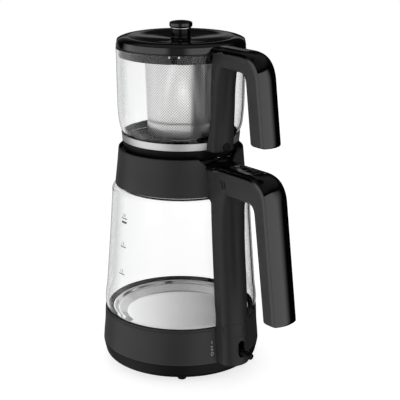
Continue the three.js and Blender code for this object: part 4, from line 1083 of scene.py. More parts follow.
def kept(node: str, finish: Finish) -> None:
    """Give a CAD node that stays a better material.

    Args:
        node: Name of the CAD node.
        finish: Its new finish.
    """
    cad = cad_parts[node]
    for place in cad.material_slots:
        place.material = finish.material()
    if not cad.material_slots:
        cad.data.materials.append(finish.material())
    log.info("%s: CAD node kept", node)


# Shared shapes


def through(points: Sequence[Sequence[float]], steps: int = 48) -> Array:
    """Smooth curve through points: hermite of each coordinate over the length walked so far.

    Args:
        points: Rows of coordinates.
        steps: Points less one on the curve.

    Returns:
        Rows of coordinates at even steps.
    """
    rows = np.asarray(points, float)
    walked = np.concatenate([[0.0], np.cumsum(np.linalg.norm(np.diff(rows, axis=0), axis=1))])
    at = np.linspace(0.0, walked[-1], steps + 1)
    return np.column_stack([hermite(walked, rows[:, i], at) for i in range(rows.shape[1])])


def spread(shares: tuple, start: float, wide: float, low: float, tall: float) -> list[tuple[float, float]]:
    """Points (radius, height) at shares of a width from a start and of a height from a low end."""
    return [(start + wide * r, low + tall * z) for r, z in shares]


def tube(inner: float, outer: float, low: float, high: float, *fillets: float) -> list[tuple]:
    """Corners of a plain ring's section with their fillets, anticlockwise from the lower inner one."""
    return list(zip((inner, outer, outer, inner), (low, low, high, high), fillets))


def beside(line: Array, distance: float) -> Array:
    """Line moved sideways: each point plus distance times its unit normal (dz, -dr).

    Args:
        line: Rows of (radius, height).
        distance: Distance, positive outwards.

    Returns:
        The moved line.
    """
    slope = np.gradient(line, axis=0)
    slope /= np.linalg.norm(slope, axis=1)[:, None]
    return line + distance * np.column_stack([slope[:, 1], -slope[:, 0]])


def short_of(line: Array, start: float, end: float) -> Array:
    """Line without the points closer than start to its first point, or than end to its last."""
    far = (np.linalg.norm(line - line[0], axis=1) >= start) & (np.linalg.norm(line - line[-1], axis=1) >= end)
    return line[far]


def chord(radius: Array, y: Array) -> Array:
    """X of a circle round the axis at a distance y to the side."""
    return np.sqrt(np.maximum(radius * radius - y * y, 0.0))


def bar(axis: Axis, radius: float, start: float, end: float, across: Sequence[float],
        edge: float = 0.0, steps: int = TINY_STEPS) -> Surface:
    """Round bar along an axis.

    Args:
        axis: Axis that it runs along.
        radius: Its radius.
        start: Place of its first end along the axis.
        end: Place of its last end.
        across: Its centre's two other coordinates, in x, y, z order.
        edge: Fillet of both ends.
        steps: Sides.

    Returns:
        The closed surface.
    """
    profile = rounded(tube(0, radius, start, end, 0, edge, edge, 0))
    first, second = across
    centre = {Axis.X: (0, first, second), Axis.Y: (first, 0, second), Axis.Z: (first, second, 0)}[axis]
    return turned(profile, steps, axis, centre)


def pin(node: str, axis: Axis) -> tuple[float, float, float, tuple[float, float]]:
    """Radius, both ends and centre of a round CAD node that lies along an axis.

    Args:
        node: Name of the CAD node.
        axis: Axis that it lies along.

    Returns:
        The radius, the first and last end, and the centre's two other coordinates.
    """
    box = span(node)
    along = "XYZ".index(axis.name)
    first, second = (i for i in range(3) if i != along)
    radius = (box[1, first] - box[0, first]) / 2
    return radius, box[0, along], box[1, along], (box[:, first].mean(), box[:, second].mean())


class Layout:
    """Heights and radii that sub-assemblies share, in millimetres, from the CAD nodes' boxes."""

    def __init__(self) -> None:
        """Read the boxes."""
        self.base_low, self.base_top, self.base_radius = upright("base_tray")
        self.kettle_low, self.ring_top, _ = upright("kettle_base_ring")
        self.glass_low, self.glass_top, _ = upright("kettle_glass")
        self.collar_low, self.collar_top, _ = upright("collar")
        self.jug_low, self.jug_top, _ = upright("teapot_glass")
        self.infuser_low, self.infuser_top, _ = upright("infuser_ring")


LAYOUT = Layout()


@dataclass(frozen=True)
class KettleForm:
    """Outer line of the kettle from its foot to the collar's top."""

    ring_flare: float = 2.55
    foot_radius: float = 79.5
    bulge: float = 0.9
    shoulder_radius: float = 71.8
    shoulder_rise: float = 5.6
    neck_radius: float = 64.6
    collar_low_radius: float = 68.6
    collar_top_radius: float = 64.7
    neck_show: float = 0.6
    foot_tuck: float = 1.0
    space_below: float = 4.0
    ring_shares: tuple = ((1, 0), (0.8, 0.19), (0.33, 0.55), (0.04, 0.97), (0, 1))
    glass_shares: tuple = ((1, 0.02), (0.82, 0.2), (0.62, 0.365), (0.43, 0.53), (0.2, 0.74), (0, 0.955))
    collar_shares: tuple = ((1, 0), (0.64, 0.33), (0.39, 0.56), (0.1, 0.89), (0, 1))

    def ring_side(self) -> Array:
        """Side of the base ring, from its foot to its top.

        Returns:
            Rows of (radius, height).
        """
        low, high = LAYOUT.kettle_low, LAYOUT.ring_top
        top = LAYOUT.base_radius - self.ring_flare
        return through(spread(self.ring_shares, top, self.ring_flare, low, high - low))

    def glass_side(self) -> Array:
        """Side of the glass, from the base ring to the start of the shoulder.

        Returns:
            Rows of (radius, height).
        """
        low, high = LAYOUT.ring_top, LAYOUT.collar_low - self.shoulder_rise - self.neck_show
        widest = self.foot_radius + self.bulge
        grow = widest - self.shoulder_radius
        rise = (high - low) / self.glass_shares[-1][1]
        rows = spread(self.glass_shares, self.shoulder_radius, grow, low, rise)
        return through([(self.foot_radius, low - self.foot_tuck), *rows], 64)

    def shoulder(self, inset: float = 0.0) -> Array:
        """Shoulder of the glass: a quarter ellipse in to the neck.

        Args:
            inset: Distance that it is drawn in.

        Returns:
            Rows of (radius, height).
        """
        t = np.linspace(0.0, math.pi / 2, 17)[1:]
        wide = self.shoulder_radius - self.neck_radius
        low = LAYOUT.collar_low - self.shoulder_rise - self.neck_show
        r = self.neck_radius + (wide - inset) * np.cos(t)
        return np.column_stack([r, low + (self.shoulder_rise - inset) * np.sin(t)])

    def collar_side(self) -> Array:
        """Side of the collar, from its foot to its top.

        Returns:
            Rows of (radius, height).
        """
        low, high = LAYOUT.collar_low, LAYOUT.collar_top
        wide = self.collar_low_radius - self.collar_top_radius
        return through(spread(self.collar_shares, self.collar_top_radius, wide, low, high - low))

    def envelope(self, gap: float) -> Surface:
        """Space that the kettle fills, a gap larger all round.

        Args:
            gap: Gap all round.

        Returns:
            The closed surface.
        """
        line = np.vstack([self.ring_side(), self.glass_side()[2:], self.shoulder(), self.collar_side()])
        grown = line + [gap, 0.0]
        low, high = LAYOUT.kettle_low - self.space_below, LAYOUT.collar_top + OVERRUN
        foot = [(0.0, low), (grown[0, 0], low)]
        head = [(grown[-1, 0], high), (0.0, high)]
        return turned(np.vstack([foot, grown, head]))


@dataclass(frozen=True)
class TeapotForm:
    """Outer line of the teapot's glass."""

    foot_radius: float = 56.0
    foot_edge: float = 2.0
    band_radius: float = 60.3
    band_rise: float = 12.5
    band_height: float = 7.5
    band_taper: float = 0.8
    rim_radius: float = 66.2
    side_shares: tuple = ((0.44, 0.25), (0.74, 0.377), (0.88, 0.62), (0.94, 0.86), (1, 1))

    @property
    def band_low(self) -> float:
        """Height of the band's lower edge."""
        return LAYOUT.jug_low + self.band_rise

    def side(self) -> Array:
        """Side of the glass, from above its foot to the rim.

        Returns:
            Rows of (radius, height).
        """
        rise = LAYOUT.jug_top - LAYOUT.jug_low
        grow = self.rim_radius - self.band_radius
        rows = [
            (self.foot_radius + self.foot_edge, LAYOUT.jug_low + self.foot_edge),
            (self.band_radius - self.band_taper, self.band_low),
            (self.band_radius, self.band_low + self.band_height),
        ]
        rows += spread(self.side_shares, self.band_radius, grow, LAYOUT.jug_low, rise)
        return through(rows, 72)


KETTLE = KettleForm()
TEAPOT = TeapotForm()


def pushed_lip(points: Array, low: float, high: float, reach: float, half_angle: float) -> Array:
    """Pouring lip: points move towards -X by reach * up^2 * cos^2 of their share of the half angle.

    Args:
        points: Rows of (x, y, z).
        low: Height where the lip starts.
        high: Height of the rim.
        reach: The lip's reach at the rim.
        half_angle: Half of the angle that it spreads over, in degrees.

    Returns:
        The moved points.
    """
    up = np.clip((points[:, 2] - low) / (high - low), 0.0, 1.0)
    away = np.abs(np.degrees(np.arctan2(points[:, 1], -points[:, 0]))) / half_angle
    push = reach * up**2 * np.cos(np.minimum(away, 1.0) * math.pi / 2) ** 2
    return points - np.column_stack([push, 0 * push, 0 * push])


class SubAssembly:
    """Group of pieces that ride on one CAD body."""

    body: str

    def put(self, piece: Piece, finish: Finish, slot: str | None, *nodes: str) -> Piece:
        """Dress a piece and let it stand for its CAD nodes."""
        return placed(piece, finish, self.body, nodes)

    def build(self) -> None:
        """Make the group's pieces."""
        raise NotImplementedError


# Power base


@dataclass
class PowerBase(SubAssembly):
    """Round tray with its connector, feet and cord inlet."""

    body: str = "power_base"
    under_radius: float = 68.55
    wall: float = 2.4
    deck_drop: float = 4.5
    socket_hole: float = 18.3
    side_shares: tuple = ((0, 0), (0.34, 0.085), (0.62, 0.16), (0.77, 0.27), (0.9, 0.6), (1, 1))
    spigot: float = 14.0
    shoulder: float = 0.6
    groove_in: float = 8.5
    groove_out: float = 11.5
    groove_depth: float = 5.5
    inlet_bore: float = 3.2
    inlet_run: float = 4.0

    def build(self) -> None:
        """Make the tray, the connector with its contact band, the feet and the inlet."""
        self.put(self.tray(), SATIN_BLACK, "satin_black", "base_tray")
        self.put(self.connector(), SATIN_BLACK, "satin_black", "base_connector")
        self.put(self.contact(), BRASS, "brass", "base_contact_ring")
        for i in range(1, 5):
            self.put(self.foot(i), RUBBER, "silicone", f"base_foot_{i}")
        self.put(self.inlet(), RUBBER, "silicone", "cord_inlet")
        kept("base_bottom_cover", SATIN_BLACK)

    def side(self, width: float, low: float, high: float) -> Array:
        """Bowl-shaped side out to a radius, between two heights."""
        grow = width - self.under_radius
        return through(spread(self.side_shares, self.under_radius, grow, low, high - low))

    def tray(self) -> Piece:
        """Tray with its rim, deck and cord hole.

        Returns:
            The finished piece.
        """
        low, high = LAYOUT.base_low, LAYOUT.base_top
        deck = high - self.deck_drop
        outer = self.side(LAYOUT.base_radius, low, high)
        lip = LAYOUT.base_radius - self.wall
        inner = self.side(lip, low + self.wall, deck - self.wall)[::-1]
        corners = plain(short_of(outer, 0.0, 0.8)) + [
            (LAYOUT.base_radius, high, 0.5), (lip, high, 0.4), (lip, deck, 0.8),
            (self.socket_hole, deck, 0.3), (self.socket_hole, deck - self.wall, 0.0),
        ] + plain(inner)
        piece = hoop("tray", corners)
        radius, start, end, centre = pin("cord_inlet", Axis.Y)
        hole = bar(Axis.Y, radius + GAP, start - GAP, end + self.inlet_run, centre, steps=SMALL_STEPS)
        return combined(piece, [hole], Join.CUT)

    def connector(self) -> Piece:
        """Socket disc with its spigot and contact groove.

        Returns:
            The finished piece.
        """
        low, high, radius = upright("base_connector")
        step = LAYOUT.base_top - self.deck_drop + self.shoulder
        floor = high - self.groove_depth
        corners = [
            (0, low, 0), (radius, low, 0.4), (radius, step, 0.4), (self.spigot, step, 0.3),
            (self.spigot, high, 0.8), (self.groove_out, high, 0.4), (self.groove_out, floor, 0.2),
            (self.groove_in, floor, 0.2), (self.groove_in, high, 0.6), (0, high, 0),
        ]
        return disc("connector_socket", corners, SMALL_STEPS)

    def contact(self) -> Piece:
        """Contact band at the bottom of the groove.

        Returns:
            The finished piece.
        """
        low, high, outer = upright("base_contact_ring")
        inner = outer - (self.groove_out - self.groove_in) + 2 * GAP
        return hoop("contact_band", tube(inner, outer, low, high, 0.1, 0.1, 0.5, 0.5), SMALL_STEPS)

    def foot(self, number: int) -> Piece:
        """Soft foot, round at its lower edge.

        Args:
            number: The foot's number.

        Returns:
            The finished piece.
        """
        radius, _, high, centre = pin(f"base_foot_{number}", Axis.Z)
        profile = rounded(tube(0, radius, 0, high, 0, 1.3, 0.2, 0))
        return turned(profile, TINY_STEPS, centre=(*centre, 0)).piece(f"foot_{number}")

    def inlet(self) -> Piece:
        """Grommet that the cord would pass through.

        Returns:
            The finished piece.
        """
        radius, start, end, (x, z) = pin("cord_inlet", Axis.Y)
        bore = self.inlet_bore
        profile = rounded(tube(bore, radius, start, end, 0.3, 0.3, 0.9, 0.5), closed=True)
        return turned(profile, TINY_STEPS, Axis.Y, (x, 0, z)).piece("inlet_grommet")


# Kettle


@dataclass
class KettleBase(SubAssembly):
    """Base ring with its cover, connector and heater."""

    body: str = "kettle"
    ring_wall: float = 1.8
    ring_edge: float = 1.1
    flange_reach: float = 2.0
    flange_thickness: float = 5.2
    groove_drop: float = 2.1
    groove_width: float = 0.7
    groove_depth: float = 0.45
    plug_radius: float = 20.7
    plug_wall: float = 6.1
    gasket_in: float = 72.6
    gasket_out: float = 76.8
    plate_radius: float = 74.3
    plate_steps: tuple = ((70.2, 0.0), (68.2, 3.4), (65.4, 3.4), (58.4, 7.4))
    plate_thickness: float = 1.2
    passage: tuple = (4.0, 2.6, 3.4, 6.0)
    loom_radius: float = 2.0
    loom_rise: float = 5.7
    loom_reach: float = 6.0
    screw_hole: float = 2.0
    screw_reach: float = 7.0
    plug_flange: float = 3.3
    plug_depth: float = 7.7
    gasket_lips: tuple = ((2.6, 0.35, 0.2), (2.2, 0.75, 0.1))
    gasket_step: float = 0.25

    def build(self) -> None:
        """Make the ring, cover, connector, gasket and plate, and dress what stays CAD."""
        self.put(self.ring(), BASE_GREY, "matte_grey", "kettle_base_ring")
        self.put(self.cover(), SATIN_BLACK, "satin_black", "kettle_base_cover")
        self.put(self.connector(), SATIN_BLACK, "satin_black", "kettle_connector")
        self.put(self.gasket(), RUBBER, "silicone", "heater_gasket")
        self.put(self.plate(), PLATE_STEEL, "steel", "heater_plate")
        for node in ("heating_element", "switch_pin", "column_screw_1", "column_screw_2"):
            kept(node, PLAIN_STEEL)
        for node in ("thermostat", "switch_bracket"):
            kept(node, SATIN_BLACK)
        kept("wire_loom", RUBBER)

    def ring(self) -> Piece:
        """Base ring: outer side with a fine groove under its top, a seat for the glass inside.

        Returns:
            The finished piece.
        """
        side = KETTLE.ring_side()
        top, low = LAYOUT.ring_top, LAYOUT.kettle_low
        width = side[-1, 0]
        groove = top - self.groove_drop
        below = side[side[:, 1] < groove - self.groove_width - GAP]
        edge = float(np.interp(groove, side[:, 1], side[:, 0]))
        floor = edge - self.groove_depth
        inner = width - self.ring_edge
        flange = LAYOUT.glass_low - GAP
        foot = side[0, 0] - self.ring_wall - GAP
        corners = plain(below) + [
            (edge, groove - self.groove_width, 0.1), (floor, groove - self.groove_width, 0),
            (floor, groove, 0), (edge, groove, 0.1), (width, top, 0.5), (inner, top, 0.3),
            (inner, flange, 0.2), (inner - self.flange_reach, flange, 0.3),
            (inner - self.flange_reach, flange - self.flange_thickness, 0.3),
            (inner - GAP, flange - self.flange_thickness, 0.3), (foot, low, 0.0),
        ]
        piece = hoop("base_ring", corners)
        deep, half, below, above = self.passage
        height = span("switch_lever")[:, 2].mean()
        end = side[0, 0] + OVERRUN
        tools = [
            box_surface((width - deep, -half, height - below), (end, half, height + above), 0.3),
            bar(Axis.X, self.loom_radius + 2 * GAP, width - self.loom_reach, width + self.loom_reach,
                self.loom_place()),
        ]
        for number in (1, 2):
            place = pin(f"column_screw_{number}", Axis.X)[-1]
            tools.append(bar(Axis.X, self.screw_hole, width - self.screw_reach, end, place))
        return combined(piece, tools, Join.CUT)

    def loom_place(self) -> tuple[float, float]:
        """Y and Z where the wires pass through the ring: the loom's outermost side, above the lever.

        Returns:
            The pair (y, z).
        """
        side = max(span("wire_loom")[:, 1], key=abs)
        rise = self.loom_rise + self.loom_radius
        return side - math.copysign(self.loom_radius, side), span("switch_lever")[:, 2].mean() + rise

    def cover(self) -> Piece:
        """Plate that closes the base from below."""
        low, high, radius = upright("kettle_base_cover")
        return hoop("base_cover", tube(self.plug_radius + GAP, radius, low, high, 0.3, 0.8, 0.2, 0.2))

    def connector(self) -> Piece:
        """Plug housing that drops over the power base's spigot.

        Returns:
            The finished piece.
        """
        low, high, flange = upright("kettle_connector")
        bore = self.plug_radius - self.plug_wall
        lid = high - self.plug_flange
        roof = low + self.plug_depth
        corners = [
            (0, roof, 0), (bore, roof, 0.5), (bore, low, 0.5), (self.plug_radius, low, 0.6),
            (self.plug_radius, lid, 0.2), (flange, lid, 0.3), (flange, high, 0.4), (0, high, 0),
        ]
        return disc("plug_housing", corners, SMALL_STEPS)

    def gasket(self) -> Piece:
        """Silicone ring that seals the plate to the glass, with two fine lips on its slope.

        Returns:
            The finished piece.
        """
        low, high, _ = upright("heater_gasket")
        plate = upright("heater_plate")[1]
        rim, under = plate + GAP, plate - self.plate_thickness - GAP
        inner, outer, slot = self.gasket_in, self.gasket_out, self.plate_radius + GAP
        corners = [(inner, low, 0.3), (outer, low, 0.3), (outer, high, 0.3)]
        corners += [(inner + reach, high - drop, fillet) for reach, drop, fillet in self.gasket_lips]
        corners += [
            (inner, rim + self.gasket_step, 0.2), (inner, rim, 0.1), (slot, rim, 0), (slot, under, 0),
            (inner, under, 0.1),
        ]
        return hoop("gasket", corners)

    def plate(self) -> Piece:
        """Heater plate: rim, slope, shelf and well, pressed from one sheet.

        Returns:
            The finished piece.
        """
        high = span("heater_plate")[1, 2]
        steps = [(r, high - drop, 2.0) for r, drop in self.plate_steps]
        top = [(self.plate_radius, high, 0.1), *steps, (0, steps[-1][1], 0)]
        under = [(r, z - self.plate_thickness, f) for r, z, f in top][::-1]
        profile = rounded([(0, under[0][1], 0), *under[1:], *top[:-1], (0, top[-1][1], 0)], steps=8)
        return turned(profile).piece("plate")


@dataclass
class KettleGlass(SubAssembly):
    """Glass jar, its seal, and the collar on its neck."""

    body: str = "kettle"
    wall: float = 2.4
    mouth_radius: float = 56.6
    flange: float = 2.0
    inner_radius: float = 62.7
    bevel: float = 1.2
    lip_reach: float = 9.0
    lip_half_angle: float = 20.0
    notch_top: float = 25.0
    notch_bottom: float = 17.0
    notch_depth: float = 8.0
    notch_corner: float = 4.0
    notch_run: float = 5.0
    notch_slant: float = 0.35
    notch_over: float = 6.0
    notch_reach: tuple = (30.0, 80.0)
    seal_width: float = 3.0
    ledge_drop: float = 21.6
    brim: float = 0.6

    def build(self) -> None:
        """Make the jar, the seal and the collar."""
        self.put(self.jar(), CLEAR_GLASS, "clear_glass", "kettle_glass")
        self.put(self.seal(), RUBBER, "silicone", "collar_seal")
        self.put(self.collar(), BASE_GREY, "matte_grey", "collar")

    def jar(self) -> Piece:
        """Glass of even wall from its foot to its neck.

        Returns:
            The finished piece.
        """
        side = KETTLE.glass_side()
        neck, top = KETTLE.neck_radius, LAYOUT.glass_top
        inside = neck - self.wall
        inner = beside(side, -self.wall)[1:][::-1]
        shoulder_in = KETTLE.shoulder(self.wall)[::-1]
        foot, low = KETTLE.foot_radius, LAYOUT.glass_low
        corners = [(foot - self.wall, low, 0.9), (foot, low, 0.9)]
        corners += plain(side) + plain(KETTLE.shoulder())
        corners += [(neck, LAYOUT.collar_low + 0.4, 0.4), (neck, top, 1.0), (inside, top, 1.0),
                    (inside, shoulder_in[0, 1] + 0.2, 1.2)]
        corners += plain(shoulder_in[1:]) + plain(inner[:-1])
        return hoop("jar", corners)

    def seal(self) -> Piece:
        """Seal between the neck and the collar's ledge."""
        low, high, outer = upright("collar_seal")
        return hoop("neck_seal", tube(outer - self.seal_width, outer, low, high, 0.6, 0.6, 0.6, 0.6))

    def collar(self) -> Piece:
        """Collar with a pouring lip at the front and a notch for the lid's tab at the back.

        Returns:
            The finished piece.
        """
        side = KETTLE.collar_side()
        top, low = LAYOUT.collar_top, LAYOUT.collar_low
        ledge = top - self.ledge_drop
        clear = KETTLE.neck_radius + GAP
        outer = side[-1, 0]
        corners = [(side[0, 0], low, 0.4)] + plain(short_of(side, 0.8, 1.0)) + [
            (outer, top - self.brim, 0.4), (outer - self.brim, top, 0.4),
            (self.inner_radius + self.bevel / 2, top, 0.4),
            (self.inner_radius, top - self.bevel, 0.5), (self.inner_radius, ledge, 0.6),
            (self.mouth_radius, ledge, 0.5), (self.mouth_radius, ledge - self.flange, 0.5),
            (clear, ledge - self.flange, 0.3), (clear, low, 0.3),
        ]
        shell = turned(rounded(corners, closed=True))
        lip = shell.moved(lambda p: pushed_lip(p, ledge, top, self.lip_reach, self.lip_half_angle))
        return combined(lip.piece("neck_collar"), [self.notch()], Join.CUT)

    def notch(self) -> Surface:
        """Cutter of the notch: a trapezium with soft corners, run outwards along X.

        Returns:
            The closed surface.
        """
        top = LAYOUT.collar_top
        slope = (self.notch_top - self.notch_bottom) / self.notch_depth
        wide = self.notch_top + self.notch_run
        right = [
            (self.notch_bottom, top - self.notch_depth, self.notch_corner),
            (self.notch_top, top, self.notch_run), (wide, top + self.notch_slant, 0.0),
            (wide + slope, top + self.notch_over, 0.0),
        ]
        left = [(-y, z, fillet) for y, z, fillet in right]
        outline = rounded([left[0], *right, *left[:0:-1]], closed=True, steps=8)
        return stack_of([(outline, x) for x in self.notch_reach], (1, 2, 0)).outward()


@dataclass
class KettleLid(SubAssembly):
    """Ring lid in the collar, with its ribbed tab in the notch."""

    body: str = "kettle_lid"
    seat_radius: float = 59.1
    seat_depth: float = 1.8
    plate: float = 2.4
    skirt: float = 2.0
    steam_hole: float = 20.0
    tab_reach: float = 8.5
    tab_half: float = 7.0
    tab_thickness: float = 1.3
    rib: float = 0.8
    ribs: int = 4
    rib_inset: float = 0.4
    sunk: float = 3.0
    side_gap: float = 2.3

    def build(self) -> None:
        """Make the lid in one piece with its tab."""
        low, high = upright("kettle_lid")[0], LAYOUT.collar_top - self.sunk
        radius = KETTLE.collar_top_radius - self.side_gap
        seat = high - self.seat_depth
        under = seat - self.plate
        corners = [
            (radius, low, 0.5), (radius, high, 0.7), (self.seat_radius + GAP, high, 0.5),
            (self.seat_radius, seat, 0.5), (self.steam_hole, seat, 0.8), (self.steam_hole, under, 0.6),
            (radius - self.skirt, under, 0.6), (radius - self.skirt, low, 0.5),
        ]
        piece = hoop("ring_lid", corners)
        top = high + GAP
        start, end = self.seat_radius + 2 * GAP, radius + self.tab_reach
        floor = top - self.tab_thickness
        tools = [box_surface((start, -self.tab_half, floor), (end, self.tab_half, top), 0.5)]
        pitch, half = self.tab_reach / (self.ribs + 1), self.tab_half - self.rib_inset
        for i in range(1, self.ribs + 1):
            x = radius + i * pitch
            low_corner = (x, -half, top - self.tab_thickness / 2)
            tools.append(box_surface(low_corner, (x + pitch / 2, half, top + self.rib), 0.35))
        self.put(combined(piece, tools, Join.ADD), SOFT_BLACK, "gloss_black", "kettle_lid")


# Handles


@dataclass
class Stations:
    """Rows of a handle: points on its outer and inner line, half width, and how far the end is drawn in."""

    outer: Array
    inner: Array
    half: Array
    tuck: Array

    @property
    def depth(self) -> Array:
        """Distance from the inner to the outer line at each row."""
        return np.linalg.norm(self.outer - self.inner, axis=1)

    def rings(self, depth: Array, y: Array) -> Array:
        """Points at a depth from the inner line and a distance to the side, one ring to a row.

        Args:
            depth: Depths, one column to a point.
            y: Distances to the side.

        Returns:
            Array (row, point, xyz).
        """
        way = (self.outer - self.inner) / self.depth[:, None]
        x = self.inner[:, :1] + way[:, :1] * depth
        z = self.inner[:, 1:] + way[:, 1:] * depth
        return np.stack([x, np.broadcast_to(y, x.shape), z], axis=-1)

    def mirrored(self, depth: Array, y: Array) -> Surface:
        """Loft of half a section and its mirror image."""
        both = np.hstack([depth, depth[:, ::-1]])
        return loft(self.rings(both, np.hstack([-y, y[:, ::-1]])))

    def part(self, start: int) -> Stations:
        """The rows from a given one on."""
        return Stations(self.outer[start:], self.inner[start:], self.half[start:], self.tuck[start:])


@dataclass(frozen=True)
class Handle:
    """Open-ended handle in the XZ plane: an arm out from the vessel, a bend, and a grip down."""

    start_x: float
    corner_x: float
    arm_z: float
    arm_depth: float
    lean: float
    grip_top: float
    grip_end: float
    half: float
    end_z: float
    crown: float
    foot_half: float
    foot_length: float
    bend: float = 24.0
    inner_bend: float = 9.0
    lip: float = 3.5
    bevel: float = 1.5
    round: float = 3.5
    end_round: float = 3.0
    wall: float = 2.5
    rim: float = 2.6
    slant: float = 0.35
    rest: float = 0.12
    hollow_round: float = 1.2
    edge_fillet: float = 0.9
    under_fillet: float = 0.25
    foot_blend: float = 4.0
    column_gap: float = 0.05
    column_inset: float = 0.15
    arm_steps: int = 24
    bend_steps: int = 32
    grip_steps: int = 40
    level_from: float = 0.55
    level_range: float = 0.35

    @property
    def column_top(self) -> float:
        """Height where the column ends, just under the outer half."""
        return self.arm_z - self.lip - self.column_gap

    @property
    def column_half(self) -> float:
        """Half width of the column's head, just inside the arm's."""
        return self.half - self.column_inset

    def stations(self, end_round: float | None = None, shorten: float = 0.0) -> Stations:
        """Rows along the handle: arm and grip are straight, and the bend is a quadratic curve.

        The last rows draw the section in by 1 - cos of an angle that turns through a right angle
        while the row nears the end by end_round * sin of it.

        Args:
            end_round: Radius of the end, or None for the handle's own.
            shorten: Length left off the grip.

        Returns:
            The rows.
        """
        corner = np.array([self.corner_x, self.arm_z])
        down = np.array([self.lean, -1.0]) / math.hypot(self.lean, 1.0)
        end = corner + down * (self.arm_z - self.end_z) / -down[1]
        corner_in = corner - [self.grip_top, self.arm_depth]
        end_in = np.array([end[0] - self.grip_end, self.end_z])
        down_in = (end_in - corner_in) / np.linalg.norm(end_in - corner_in)
        radius = self.end_round if end_round is None else end_round
        t_arm = np.linspace(0.0, 1.0, self.arm_steps + 1)[:-1, None]
        t_bend = np.linspace(0.0, 1.0, self.bend_steps + 1)[:, None]
        turn = np.linspace(0.0, math.pi / 2, 8) if radius > 0 else np.zeros(1)
        sides = []
        lines = (corner, down, self.bend, end), (corner_in, down_in, self.inner_bend, end_in)
        for point, way, length, last in lines:
            first = point - [length, 0.0]
            close = point + way * length
            arm = np.array([self.start_x, point[1]]) * (1 - t_arm) + first * t_arm
            curve = first * (1 - t_bend) ** 2 + point * 2 * t_bend * (1 - t_bend) + close * t_bend**2
            run = np.linalg.norm(last - close)
            full = 1.0 - (shorten + radius) / run
            grip = np.linspace(0.0, full, self.grip_steps + 1)[1:-1]
            tail = full + radius * np.sin(turn) / run
            t_grip = np.concatenate([grip, tail])[:, None]
            sides.append(np.vstack([arm, curve, close * (1 - t_grip) + last * t_grip]))
        outer, inner = sides
        tuck = np.zeros(len(outer))
        tuck[-len(turn):] = 1 - np.cos(turn)
        way = (outer - inner) / np.linalg.norm(outer - inner, axis=1)[:, None]
        outer = outer - way * self.bevel * tuck[:, None]
        inner = inner + way * radius * tuck[:, None]
        return Stations(outer, inner, self.half - radius * tuck, tuck)

    def inner_half(self, rise: float = 0.0) -> Surface:
        """Inner half: round on the finger side, with a narrow slanted rim where the outer half meets it.

        Args:
            rise: Distance that the rim is raised by.

        Returns:
            The closed surface.
        """
        rows = self.stations()
        top = (rows.depth - self.lip + rise)[:, None]
        half = rows.half[:, None]
        t = np.linspace(0.0, math.pi / 2, 8)
        r = self.round
        foot = top - rise - self.rim
        near = [top, foot + self.rest, foot - self.rest]
        in_by = [self.slant, self.rest * self.slant / self.rim, 0.0]
        depth = np.hstack(near + [np.broadcast_to(r - r * np.sin(t), (len(half), len(t)))])
        return rows.mirrored(depth, np.hstack([half - i for i in in_by] + [half - r + r * np.cos(t)]))

    def hollow(self, start: int) -> Surface:
        """Hollow of the inner half, open towards the outer half.

        Args:
            start: Row that it begins at.

        Returns:
            The closed surface.
        """
        rows = self.stations(0.0, self.wall + self.end_round).part(start)
        half = rows.half[:, None] - self.wall
        t = np.linspace(0.0, math.pi / 2, 5)
        r = self.hollow_round
        floor = self.wall + np.broadcast_to(r - r * np.sin(t), (len(half), len(t)))
        depth = np.hstack([rows.depth[:, None], floor])
        return rows.mirrored(depth, np.hstack([half, half - r + r * np.cos(t)]))

    def outer_half(self) -> Surface:
        """Outer half: a crowned strap with slanted sides, wider where it stands on the vessel.

        Returns:
            The closed surface.
        """
        rows = self.stations()
        edge = self.half - self.bevel
        y = edge * np.cos(np.linspace(0.0, math.pi, 33))
        crown = [(float(a), float(self.crown * (1 - (a / edge) ** 2)), 0.0) for a in y]
        ends = [(side * edge, 0.0, self.edge_fillet) for side in (1, -1)]
        under = GAP - self.lip
        foot = [(side * self.half, under, self.under_fillet) for side in (-1, 1)]
        corners = [*foot, ends[0], *crown[3:-3], ends[1]]
        section = rounded(corners, closed=True, steps=4)
        far = self.start_x + self.foot_length + self.foot_blend / 2
        foot = ease((far - rows.outer[:, 0]) / self.foot_blend)
        foot *= rows.outer[:, 1] > self.arm_z - 0.01
        half = rows.half + (self.foot_half - self.half) * foot
        share = np.minimum(np.abs(section[:, 0]) / edge, 1.0)
        fuller = self.crown * (share**2 - share**4) * (section[:, 1] > 0)
        depth = rows.depth[:, None] + section[None, :, 1] + self.on_arm(rows)[:, None] * fuller[None, :]
        return loft(rows.rings(depth, section[None, :, 0] * (half / self.half)[:, None]))

    def on_arm(self, rows: Stations) -> Array:
        """1 on the straight arm and 0 on the grip, turning smoothly over the bend."""
        way = (rows.outer - rows.inner) / rows.depth[:, None]
        return ease((way[:, 1] - self.level_from) / self.level_range)

    def top_at(self, x: Array, y: Array) -> Array:
        """Height of the crowned top on the straight arm: crown times 1 - (y / edge)^4."""
        edge = self.half - self.bevel
        return self.arm_z + self.crown * (1 - (np.asarray(y) / edge) ** 4) + 0 * np.asarray(x)


